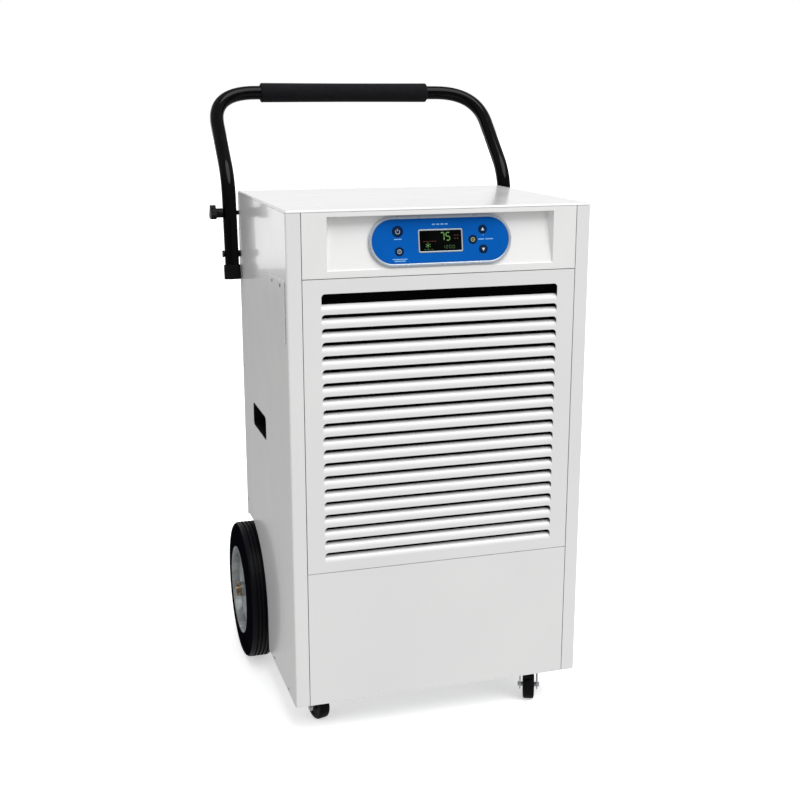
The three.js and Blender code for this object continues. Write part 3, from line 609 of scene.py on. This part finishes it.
CARRIED = {
    1.2: "service_cover top_cover",
    0.6: (
        "side_panel_left side_panel_right rear_panel lower_front_panel wheel_well_left "
        "wheel_well_right control_fascia"
    ),
    0.4: (
        "base_pan side_grip_left side_grip_right control_board air_filter evaporator_coil "
        "condenser_coil drip_tray fan_shroud fan_impeller fan_motor motor_bracket compressor "
        "accumulator discharge_pipe suction_pipe electrical_box drain_hose drain_outlet cable_gland "
        "leg_cap_left leg_cap_right pivot_bolt_left pivot_bolt_right clamp_knob_left "
        "clamp_knob_right wheel_axle split_pin_left split_pin_right castor_plate_left "
        "castor_plate_right castor_fork_left castor_fork_right castor_brake_right"
    ),
}
HUB_FITTINGS = ("wheel_axle", "split_pin_left", "split_pin_right")
SLOT_OF = {part["node"]: part["material_slot"] for part in frame["record"]["subparts"]}
for edge, names in CARRIED.items():
    for name in names.split():
        dress_cad(name, SLOT_OF[name], edge)
for name in HUB_FITTINGS:
    frame["nodes"][name].data.materials[0] = PASSIVATED


# ---- front grille ------------------------------------------------------------------------------
LOUVRES = 20
PITCH = 21.6
SLOT_HALF = 196
SLOT_HEIGHT = 15
FIRST_SLOT = 25.6
SLOT_DROP = 22.5  # from the top of the panel to the first slot
SHEET, FOLD = 1.5, 12  # the sheet's thickness, and how deep its folded rim is
# Stands a flat plate up, with its top face to the front.
UPRIGHT = Matrix(((1, 0, 0, 0), (0, 0, -1, 0), (0, 1, 0, 0), (0, 0, 0, 1)))


def slot_loop(top, height):
    """An air slot: square at its foot, where the blade leaves the sheet, and round above."""
    corner = 6
    return (
        [(-SLOT_HALF, top - height), (SLOT_HALF, top - height)]
        + arc(SLOT_HALF - corner, top - corner, corner, 0, 90, 7)
        + arc(-SLOT_HALF + corner, top - corner, corner, 90, 180, 7)
    )


def louvre_section(foot):
    """The pressed blade in y, z: it leaves the sheet upright and curls inwards as it rises."""
    outer, inner = [], []
    thick = 1.3
    depth, rise, overlap = 10.2, 9.6, 1
    curl = math.pi / 2 * 0.92
    steps = 8
    for i in range(steps + 1):
        slope = i / steps * curl
        y = depth * (1 - math.cos(slope))
        z = foot - overlap + rise * math.sin(slope)
        outer.append((y, z))
        inner.append((y + thick * math.cos(slope), z - thick * math.sin(slope)))
    return outer + inner[::-1]


def louvre(foot, name):
    """One blade across the panel, reaching a little into the sheet at both ends."""
    overlap = 0.5
    section = louvre_section(foot)
    count = len(section)
    vertices = []
    for x in (-SLOT_HALF - overlap, SLOT_HALF + overlap):
        vertices += [from_front(x, y, z) for y, z in section]
    faces = [tuple(range(count)), tuple(reversed(range(count, 2 * count)))]
    for k in range(count):
        m = (k + 1) % count
        faces.append((k, k + count, m + count, m))
    return mesh_object(name, vertices, faces, "cabinet", "white_enamel", angle=40)


def front_grille():
    """The sheet with its slots, the folded rim behind it and the twenty blades."""
    low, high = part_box("front_grille")
    half, bottom, top = high.x / MM, low.z / MM, high.z / MM
    loops = [bar(-half, half, bottom, top)]
    blades = []
    for i in range(LOUVRES):
        height = FIRST_SLOT if i == 0 else SLOT_HEIGHT
        foot = top - SLOT_DROP - FIRST_SLOT - i * PITCH
        loops.append(slot_loop(foot + height, height))
        blades.append(louvre(foot, f"louvre_{i}"))
    matrix = Matrix.Translation((0, FRONT, 0)) @ UPRIGHT
    sheet = flat_piece("sheet", loops, -SHEET, 0, 0.35, matrix, "cabinet", "white_enamel")
    wall, within = 1.2, half * 0.9965
    inside = bar(-within, within, bottom + wall, top - wall)
    rim = flat_piece("rim", [loops[0], inside], -FOLD, -0.8, 0.3, matrix, "cabinet", "white_enamel")
    grille = merged("front_grille_panel", [sheet, rim, *blades])
    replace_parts(grille, "front_grille")


# ---- control panel -----------------------------------------------------------------------------
RECESS_TOP, RECESS_BOTTOM = 869, 787
RECESS_DEPTH, RECESS_FOOT = 16, 2
PILL_MIDDLE = 826.6
BEZEL = {"x": -1.4, "y": 0.6, "half": 117.4, "radius": 38.9, "rim": 4.6}
TILT = math.atan2(RECESS_DEPTH - RECESS_FOOT, RECESS_TOP - RECESS_BOTTOM)

# Heights above the recess floor, in millimetres.
PANEL_BACK = 0.4
BEZEL_FACE = 4.6
PLATE_FACE = 3.4
GLASS_BACK, GLASS_FACE = 0.5, 3.5
GLASS_RING_FACE = 4.1
KEY_BACK, KEY_FACE = 1.9, 3.9


def pill_matrix():
    """x to the right, y up the slope, z straight out of the recess floor."""
    depth = RECESS_FOOT + math.tan(TILT) * (PILL_MIDDLE - RECESS_BOTTOM)
    turn = Matrix.Rotation(math.radians(90) - TILT, 4, "X")
    return Matrix.Translation(from_front(0, depth, PILL_MIDDLE)) @ turn


PILL = pill_matrix()


def pill_loop(inset):
    """The control panel's round-ended outline, drawn in by an inset."""
    x, y, radius = BEZEL["x"], BEZEL["y"], BEZEL["radius"] - inset
    reach = BEZEL["half"] - BEZEL["radius"]
    return arc(x + reach, y, radius, -90, 90, 40) + arc(x - reach, y, radius, 90, 270, 40)


DISPLAY_X, DISPLAY_HALF, DISPLAY_RISE = -2.5, 37, 18.5


def display_loop(inset):
    """The window's outline, a little inside its opening."""
    half, rise = DISPLAY_HALF - inset, DISPLAY_RISE - inset
    return round_rect(DISPLAY_X - half, DISPLAY_X + half, -rise, rise, max(3 - inset / 2, 1.5))


def control_bezel():
    """The silver trim round the panel."""
    loops = [pill_loop(0), pill_loop(BEZEL["rim"])]
    ring = flat_piece("bezel", loops, PANEL_BACK, BEZEL_FACE, 1.3, PILL, "cabinet", "silver")
    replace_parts(ring, "control_bezel")


# The keys' middles and radii on the panel.
KEYS = {
    "power": (-72, 16, 8.5),
    "timer": (-70.5, -15, 6.8),
    "up": (68, 15.5, 6.8),
    "mode": (51, 0, 6.8),
    "down": (68, -15.5, 6.8),
}


def control_plate():
    """The blue panel, with holes for the display and the keys."""
    loops = [pill_loop(BEZEL["rim"] + 0.3), display_loop(0)]
    loops += [circle(x, y, radius + 0.4) for x, y, radius in KEYS.values()]
    plate = flat_piece("plate", loops, PANEL_BACK, PLATE_FACE, 0.15, PILL, "cabinet", "blue_panel")
    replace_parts(plate, "control_plate")


def mark(name, loops, top, ink_material, body="cabinet", slot="display"):
    """A thin printed or lit mark lying on the panel."""
    piece = flat_mesh(name, loops, top, top + 0.12, 0.02)
    piece.transform(PILL)
    paint(piece, ink_material)
    return place(bpy.data.objects.new(name, piece), body, slot)


def display():
    """The glass and the silver ring round it."""
    trim = [display_loop(0.4), display_loop(2.6)]
    ring = flat_piece("ring", trim, GLASS_BACK, GLASS_RING_FACE, 0.5, PILL, "cabinet", "silver")
    pane = [display_loop(2.8)]
    glass = flat_piece("glass", pane, GLASS_BACK, GLASS_FACE, 0.1, PILL, "cabinet", "display")
    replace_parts(merged("display_unit", [glass, ring]), "display_window")


# The segments that light for each digit: a top, b upper right, c lower right, d bottom,
# e lower left, f upper left, g middle.
SEGMENTS = {"7": "abc", "5": "afgcd", "0": "abcdef", "2": "abged", "1": "bc"}


def segment_bars(x, y, width, height, thick):
    """The seven bars of a figure, with small gaps between the upper and lower ones."""
    half = height / 2
    return {
        "a": bar(x + thick, x + width - thick, y + height - thick, y + height),
        "b": bar(x + width - thick, x + width, y + half + 0.3, y + height - thick),
        "c": bar(x + width - thick, x + width, y + thick, y + half - 0.3),
        "d": bar(x + thick, x + width - thick, y, y + thick),
        "e": bar(x, x + thick, y + thick, y + half - 0.3),
        "f": bar(x, x + thick, y + half + 0.3, y + height - thick),
        "g": bar(x + thick, x + width - thick, y + half - thick / 2, y + half + thick / 2),
    }


def digits(text, x, y, width, height, thick, step):
    """The lit bars of a row of figures."""
    loops = []
    for i, figure in enumerate(text):
        bars = segment_bars(x + i * step, y, width, height, thick)
        loops += [bars[name] for name in SEGMENTS[figure]]
    return loops


def display_marks():
    """Figures and small tell-tales: a humidity reading, a clock and a few plain symbols."""
    face = GLASS_FACE + 0.02
    reading = digits("75", -3, -0.5, 7.2, 13.5, 1.5, 9.2)
    clock = digits("1200", 0, -12.6, 4, 5.4, 0.8, 5.6)
    hub = (-23.5, -7)
    fan = [circle(*hub, 1.5, 16)]
    for i in range(6):
        a = math.radians(60 * i + 30)
        fan.append(circle(hub[0] + 3.5 * math.cos(a), hub[1] + 3.5 * math.sin(a), 0.7, 10))
    dashes = [bar(-30 + i * 5.5, -26.5 + i * 5.5, -13.6, -12.7) for i in range(3)]
    dots = []
    for x in (20, 24.5):
        dots += [bar(x, x + 2.4, y, y + 1.4) for y in (7, 2)]
    row = [bar(-31 + i * 4.5, -28 + i * 4.5, -1.2, -0.2) for i in range(5)]
    mark("display_digits", reading, face, GREEN_LIGHT)
    mark("display_clock", clock + dashes, face, DIM_GREEN)
    mark("display_fan_sign", fan, face, GREEN_LIGHT)
    mark("display_alarm_dots", dots + row, face, RED_LIGHT)


def ring_loops(x, y, outer, inner):
    """A flat ring: its rim and its hole."""
    return [circle(x, y, outer, 32), circle(x, y, inner, 32)]


def key_sign(name, x, y):
    """The generic symbol on each key."""
    if name == "up":
        return [[(x - 2.6, y - 1.8), (x + 2.6, y - 1.8), (x, y + 2.8)]]
    if name == "down":
        return [[(x - 2.6, y + 1.8), (x, y - 2.8), (x + 2.6, y + 1.8)]]
    if name == "power":
        bow = arc(x, y - 0.3, 3.9, 130, 410, 24)
        back = arc(x, y - 0.3, 2.7, 410, 130, 24)
        return [bow + back, bar(x - 0.6, x + 0.6, y + 0.4, y + 4.2)]
    return ring_loops(x, y, 3.6, 2.3) + [circle(x, y, 0.8, 12)]


SIGN_INK = {
    "up": WHITE_INK,
    "down": WHITE_INK,
    "power": GREY_INK,
    "timer": GREY_INK,
    "mode": OLIVE_INK,
}


def keys():
    """Each key's cap with its sign and a fine ring near its edge."""
    face = KEY_FACE + 0.01
    for name, (x, y, radius) in KEYS.items():
        body = "key_" + name
        disc = [circle(x, y, radius)]
        cap = flat_piece("cap_" + name, disc, KEY_BACK, KEY_FACE, 0.5, PILL, body, "key")
        sign = mark("sign_" + name, key_sign(name, x, y), face, SIGN_INK[name], body, "key")
        ring = ring_loops(x, y, radius - 0.9, radius - 1.5)
        rim = mark("rim_" + name, ring, face, LOOKS["key"], body, "key")
        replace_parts(merged("key_cap_" + name, [cap, sign, rim]), "button_" + name)


def panel_legends():
    """Plain dashes where the panel carries small captions."""
    face = PLATE_FACE + 0.02
    rows = {
        "power": [(-78, -66, 3.4, 4.8)],
        "timer": [(-82, -58, -27.4, -26), (-79, -61, -30.4, -28.8)],
        "mode": [(60, 70, -0.6, 1), (72, 85, -0.6, 1)],
        "level": [(66.6, 69.4, 6.4, 7.2)],
        "heading": [(-15.5 + i * 7, -10.5 + i * 7, 24.5, 26.5) for i in range(4)],
    }
    for name, bars in rows.items():
        mark("legend_" + name, [bar(*b) for b in bars], face, PALE_BLUE_INK, slot="blue_panel")


# ---- handle ------------------------------------------------------------------------------------
LEG_X = 266
LEG_FOOT = (405, 722)
LEAN = math.radians(5.4)
BAR_YZ = (586, 1051.5)
KNEE_BEND, TOP_BEND = 38, 85  # how far before and after its corner each bend reaches
TUBE_END, KNEE = 5, 179  # distances along the leg
TUBE = 12.7


def on_leg(along, side):
    """A point on a leg's middle line, some way up from its foot."""
    y = LEG_FOOT[0] + math.sin(LEAN) * along
    z = LEG_FOOT[1] + math.cos(LEAN) * along
    return from_front(side * LEG_X, y, z)


def handle_tube():
    """One bent tube: up a leg, back at the knee, round over the bar and down again."""
    corners = [
        on_leg(TUBE_END, -1),
        on_leg(KNEE, -1),
        from_front(-LEG_X, *BAR_YZ),
        from_front(LEG_X, *BAR_YZ),
        on_leg(KNEE, 1),
        on_leg(TUBE_END, 1),
    ]
    bends = [KNEE_BEND * MM, TOP_BEND * MM, TOP_BEND * MM, KNEE_BEND * MM]
    tube = swept("push_handle", rounded_path(corners, bends), TUBE * MM, "handle", "black_enamel")
    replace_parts(tube, "handle_tube")


GRIP_HALF, GRIP_RADIUS, GRIP_X = 166, 18, -6


def mirrored(profile):
    """The other half of a turned profile, walked back towards its start."""
    return [(radius, -along) for radius, along in reversed(profile)]


def grip():
    """Foam sleeve with softly rounded ends, very slightly waisted by the hand."""
    edge = 2.5
    end = [(TUBE + 0.2, -GRIP_HALF)]
    end += arc(GRIP_RADIUS - edge, -GRIP_HALF + edge, edge, -90, 0, 6)
    narrow, narrowest = GRIP_RADIUS - 0.3, GRIP_RADIUS - 0.45
    waist = [(narrow, -GRIP_HALF / 2), (narrowest, 0), (narrow, GRIP_HALF / 2)]
    profile = end + waist + mirrored(end)
    middle = Matrix.Translation(from_front(GRIP_X, *BAR_YZ))
    sleeve = turned("foam_grip", profile, "handle", "foam", middle, sides=64, angle=60)
    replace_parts(sleeve, "handle_grip")


# ---- rear wheels -------------------------------------------------------------------------------
# Millimetres; the seat is the radius where the tyre sits on its rim.
WHEEL = {"middle": 255.2, "y": 376, "z": 128.5, "radius": 128.5, "half": 24.5, "seat": 83}
HUB = 21  # how far the hub tube reaches outwards from the middle of its wheel
FLANK_FACING = 0.7  # faces turned sideways more than this belong to the tyre's flanks


def wheel_matrix(side):
    """Brings a turned piece's x axis to a wheel's axle, its outer face away from the cabinet."""
    turn = Matrix.Rotation(math.pi, 4, "Z") if side < 0 else Matrix.Identity(4)
    return Matrix.Translation(from_front(side * WHEEL["middle"], WHEEL["y"], WHEEL["z"])) @ turn


def tyre_profile():
    """A solid tyre: widest at its bead, round shoulders, a ribbed tread."""
    half, outer, seat = WHEEL["half"], WHEEL["radius"], WHEEL["seat"] + 0.3
    shoulder = 8
    flank = half - 2.5  # the sidewall leans in towards the shoulder
    profile = [(seat, -half + 3), (seat + 0.6, -half + 0.8)]
    profile += [(seat + 3, -half), (seat + 8, -half + 0.2)]
    profile += [(outer - 24, -flank - 1.2), (outer - 23, -flank - 0.3)]
    profile += [(outer - 21.5, -flank - 0.3), (outer - 20.5, -flank - 0.9)]
    for a in range(0, 91, 15):
        turn = math.radians(a)
        drop, inset = 1 - math.sin(turn), 1 - math.cos(turn)
        profile.append((outer - shoulder * drop, -flank + shoulder * inset))
    side = len(profile)
    groove = outer - 2.8
    for at in (-10.5, -3.5, 3.5, 10.5):
        profile += [(outer, at - 1.7), (groove, at - 1), (groove, at + 1), (outer, at + 1.7)]
    return profile + mirrored(profile[:side])


def rim_profile():
    """Pressed disc: hub tube, shallow dish with a raised ring, and the tyre seat with rolled lips."""
    seat, lip = WHEEL["seat"], WHEEL["half"] - 0.4
    face = [(14, HUB), (14, 8.4), (19, 8.6), (33, 11.4)]
    face += [(36 + 0.25 * a, 11.9 + 1.9 * math.sin(math.radians(a * 1.8))) for a in range(0, 101, 10)]
    face += [(64, 10.2), (68, 6.9), (71, 6.0), (74.5, 6.4), (76.8, 8.5), (77.6, 12)]
    bead = [(78.2, lip - 2.4), (79, lip - 0.8), (80.8, lip), (82.4, lip - 0.5), (seat, lip - 1.8)]
    back = [(seat, -17.6), (81.5, -19), (79, -18.6), (77.8, -17), (77.4, 2.6), (69.5, 3.0), (59, 9.4)]
    back += [(34, 9.6), (14, 5.2), (14, -19), (7.6, -19), (7.6, HUB)]
    return face + bead + back


def wheels():
    """Tyre, pressed disc and the fixed washer on the axle end, on each side."""
    for name, side in SIDES:
        matrix = wheel_matrix(side)
        body = "wheel_" + name
        rubber_ring = turned(
            "wheel_tyre_" + name, tyre_profile(), body, "tyre", matrix, sides=128, angle=30
        )
        rubber_ring.data.materials.append(TYRE_FLANK)
        for face in rubber_ring.data.polygons:
            face.material_index = 1 if abs(face.normal.x) > FLANK_FACING else 0
        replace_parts(rubber_ring, "tyre_" + name)
        disc = turned("wheel_disc_" + name, rim_profile(), body, "zinc", matrix, angle=30)
        paint(disc.data, GALVANISED)
        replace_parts(disc, "wheel_rim_" + name)
        low, high = HUB + 0.4, HUB + 2.2
        washer = [(8, low), (12.6, low), (13, low + 0.4), (13, high - 0.4), (12.6, high), (8, high)]
        ring = turned("hub_washer_" + name, washer, "cabinet", "zinc", matrix, sides=48, angle=30)
        paint(ring.data, PASSIVATED)


# ---- castor rollers ----------------------------------------------------------------------------
def roller_profile():
    """A moulded castor wheel: boss, recessed web and a tread with rounded edges."""
    tread, face, rounding = 25, 9.7, 3.5
    half = [(4.2, -10), (7.5, -10), (8.2, -8.6), (16.5, -8.6)]
    half += [(17.4, -face), (tread - rounding, -face)]
    for a in range(15, 91, 15):
        turn = math.radians(a)
        drop, inset = 1 - math.sin(turn), 1 - math.cos(turn)
        half.append((tread - rounding * drop, -face + rounding * inset))
    return half + mirrored(half)


def rollers():
    """The castor wheels, each square to its own axle."""
    for name, _ in SIDES:
        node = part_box("castor_wheel_" + name)
        middle = (node[0] + node[1]) / 2
        pivot = next(j for j in frame["joints"] if j["name"] == "roller_spin_" + name)
        axis = Vector(pivot["axis"]).normalized()
        turn = Vector((1, 0, 0)).rotation_difference(axis).to_matrix().to_4x4()
        matrix = Matrix.Translation(middle) @ turn
        body = "roller_" + name
        roller = turned(body, roller_profile(), body, "black_plastic", matrix, sides=64, angle=30)
        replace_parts(roller, "castor_wheel_" + name)


# ---- fasteners ---------------------------------------------------------------------------------
def screw_mesh(radius, height):
    """Domed pan head with a cross recess, z out of the surface."""
    vertices, faces = [], []
    rings = 5
    sides = 24
    for i in range(rings):
        t = i / (rings - 1)
        r = radius * math.cos(t * math.pi / 2 * 0.72)
        z = height * math.sin(t * math.pi / 2)
        for k in range(sides):
            a = 2 * math.pi * k / sides
            sink = height * 0.35 if i == rings - 1 and k % 6 == 0 else 0
            vertices.append((r * math.cos(a) * MM, r * math.sin(a) * MM, (z - sink) * MM))
    vertices.append((0, 0, height * 0.55 * MM))
    for i in range(rings - 1):
        for k in range(sides):
            m = (k + 1) % sides
            faces.append((i * sides + k, i * sides + m, (i + 1) * sides + m, (i + 1) * sides + k))
    last = (rings - 1) * sides
    faces += [(last + k, last + (k + 1) % sides, rings * sides) for k in range(sides)]
    faces.append(tuple(reversed(range(sides))))
    return vertices, faces


def screw(name, point, outwards, radius=3.4, height=1.6):
    """A screw head on the cabinet, facing outwards."""
    turn = Vector((0, 0, 1)).rotation_difference(Vector(outwards)).to_matrix().to_4x4()
    vertices, faces = screw_mesh(radius, height)
    return mesh_object(name, vertices, faces, "cabinet", "zinc", Matrix.Translation(point) @ turn, 40)


# Places in millimetres: (distance behind the front, height) on the sides, (x, height) at the rear.
COVER_SCREWS = [(38, 763), (101, 763)]
COVER_FACE = 2.2  # how far the service cover stands out from the side
SIDE_SCREWS = [(56, 72), (180, 72), (406, 300), (406, 560)]
REAR_COLUMN = [855, 600, 345]
REAR_X = 217
REAR_SCREWS = [(REAR_X, z) for z in REAR_COLUMN]
REAR_SCREWS += [(0, REAR_COLUMN[0]), (0, 80)]
REAR_SCREWS += [(-REAR_X, z) for z in REAR_COLUMN]


def screws():
    """The screws that show: two on the service cover, four on each side, eight on the rear panel."""
    edge = SIDE / MM
    for i, (y, z) in enumerate(COVER_SCREWS):
        screw(f"cover_screw_{i}", from_front(-edge - COVER_FACE, y, z), (-1, 0, 0))
    for name, side in SIDES:
        for i, (y, z) in enumerate(SIDE_SCREWS):
            screw(f"side_screw_{name}_{i}", from_front(side * edge, y, z), (side, 0, 0), 2.6, 1.2)
    depth = (REAR - FRONT) / MM
    for i, (x, z) in enumerate(REAR_SCREWS):
        screw(f"rear_screw_{i}", from_front(x, depth, z), (0, 1, 0))


# ---- build the pieces --------------------------------------------------------------------------
front_grille()
control_bezel()
control_plate()
display()
display_marks()
keys()
panel_legends()
handle_tube()
grip()
wheels()
rollers()
screws()


# ---- floor, light and camera -------------------------------------------------------------------
def floor():
    """A light table: pale paper that glows a little, so that shadows on it stay faint."""
    size = 30
    mesh = bpy.data.meshes.new("floor")
    corners = [(x, y, 0) for x, y in bar(-size, size, -size, size)]
    mesh.from_pydata(corners, [], [(0, 1, 2, 3)])
    look = Look("floor_paper")
    look.color(look.ramp(look.noise(2.0, 3), [(0.3, (0.92, 0.92, 0.92)), (0.7, (0.95, 0.95, 0.95))]))
    look.rough(look.spread(look.noise(8.0, 2), 0.8, 0.95))
    look.set(Emission_Color=(1, 1, 1, 1), Emission_Strength=0.5)
    mesh.materials.append(look.material)
    ground = bpy.data.objects.new("floor", mesh)
    bpy.context.scene.collection.objects.link(ground)
    ground.visible_diffuse = False
    ground.visible_glossy = False


def world_light():
    """White for the camera; what lights the object is grey, darkest just above the horizon."""
    world = bpy.data.worlds.new("studio")
    world.use_nodes = True
    nodes, links = world.node_tree.nodes, world.node_tree.links
    background = nodes["Background"]
    direction = nodes.new("ShaderNodeTexCoord")
    height = nodes.new("ShaderNodeSeparateXYZ")
    links.new(direction.outputs["Generated"], height.inputs["Vector"])
    shade = nodes.new("ShaderNodeValToRGB")
    half = nodes.new("ShaderNodeMapRange")
    half.inputs["From Min"].default_value = -1
    links.new(height.outputs["Z"], half.inputs["Value"])
    links.new(half.outputs["Result"], shade.inputs["Fac"])
    stops = [(0.0, 0.52), (0.29, 0.52), (0.43, 0.32), (0.56, 0.22), (0.75, 0.42), (1.0, 0.44)]
    elements = shade.color_ramp.elements
    while len(elements) < len(stops):
        elements.new(1)
    for element, (at, grey) in zip(elements, stops):
        element.position = at
        element.color = (grey, grey, grey, 1)
    seen = nodes.new("ShaderNodeLightPath")
    mix = nodes.new("ShaderNodeMix")
    mix.data_type = "RGBA"
    mix.inputs["B"].default_value = (1, 1, 1, 1)
    links.new(seen.outputs["Is Camera Ray"], mix.inputs["Factor"])
    links.new(shade.outputs["Color"], mix.inputs["A"])
    links.new(mix.outputs["Result"], background.inputs["Color"])
    background.inputs["Strength"].default_value = 1.0
    bpy.context.scene.world = world


def lamp(name, kind, place_at, target, power, size=None):
    """A lamp aimed at a point, unseen by the camera; an area lamp has a width and a height."""
    light = bpy.data.lights.new(name, kind)
    light.energy = power
    if size:
        light.shape = "RECTANGLE"
        light.size, light.size_y = size
    holder = bpy.data.objects.new(name, light)
    holder.location = place_at
    aim = Vector(target) - Vector(place_at)
    holder.rotation_euler = aim.to_track_quat("-Z", "Y").to_euler()
    holder.visible_camera = False
    bpy.context.scene.collection.objects.link(holder)
    return holder


def lights():
    """The studio: backdrop, soft sky, fill from the left, key from the right, windows behind."""
    world_light()
    sky = lamp("soft_sky", "SUN", (0.9, -1.7, 3.4), (0, 0, 0), 2.65)
    sky.data.angle = math.radians(50)
    fill = lamp("fill_left", "AREA", (-3.0, -0.5, 1.1), (-0.25, 0, 0.45), 18, (2.4, 1.8))
    key = lamp("key_right", "AREA", (2.4, -3.2, 1.7), (0, 0, 0.5), 24, (1.6, 2.2))
    for light in (fill, key):
        light.visible_glossy = False
    lamp("window_behind", "AREA", (1.4, 4.0, 1.6), (0.1, 0, 0.88), 9, (3.4, 1.4))
    lamp("window_behind_left", "AREA", (-1.12, 2.5, 0.98), (-0.25, 0, 0.8), 4.5, (0.86, 1.2))


def camera():
    """From the front left, at the height of the handle, looking slightly down."""
    data = bpy.data.cameras.new("camera")
    data.lens = 55.25
    data.shift_x = -0.0006
    data.shift_y = 0.0084
    holder = bpy.data.objects.new("camera", data)
    holder.location = from_front(-621.1, -1815.2, 1048.6)
    holder.rotation_euler = (math.radians(75.72), 0, math.radians(-16.90))
    bpy.context.scene.collection.objects.link(holder)
    bpy.context.scene.camera = holder


floor()
lights()
camera()
bpy.context.scene.view_settings.view_transform = "Standard"
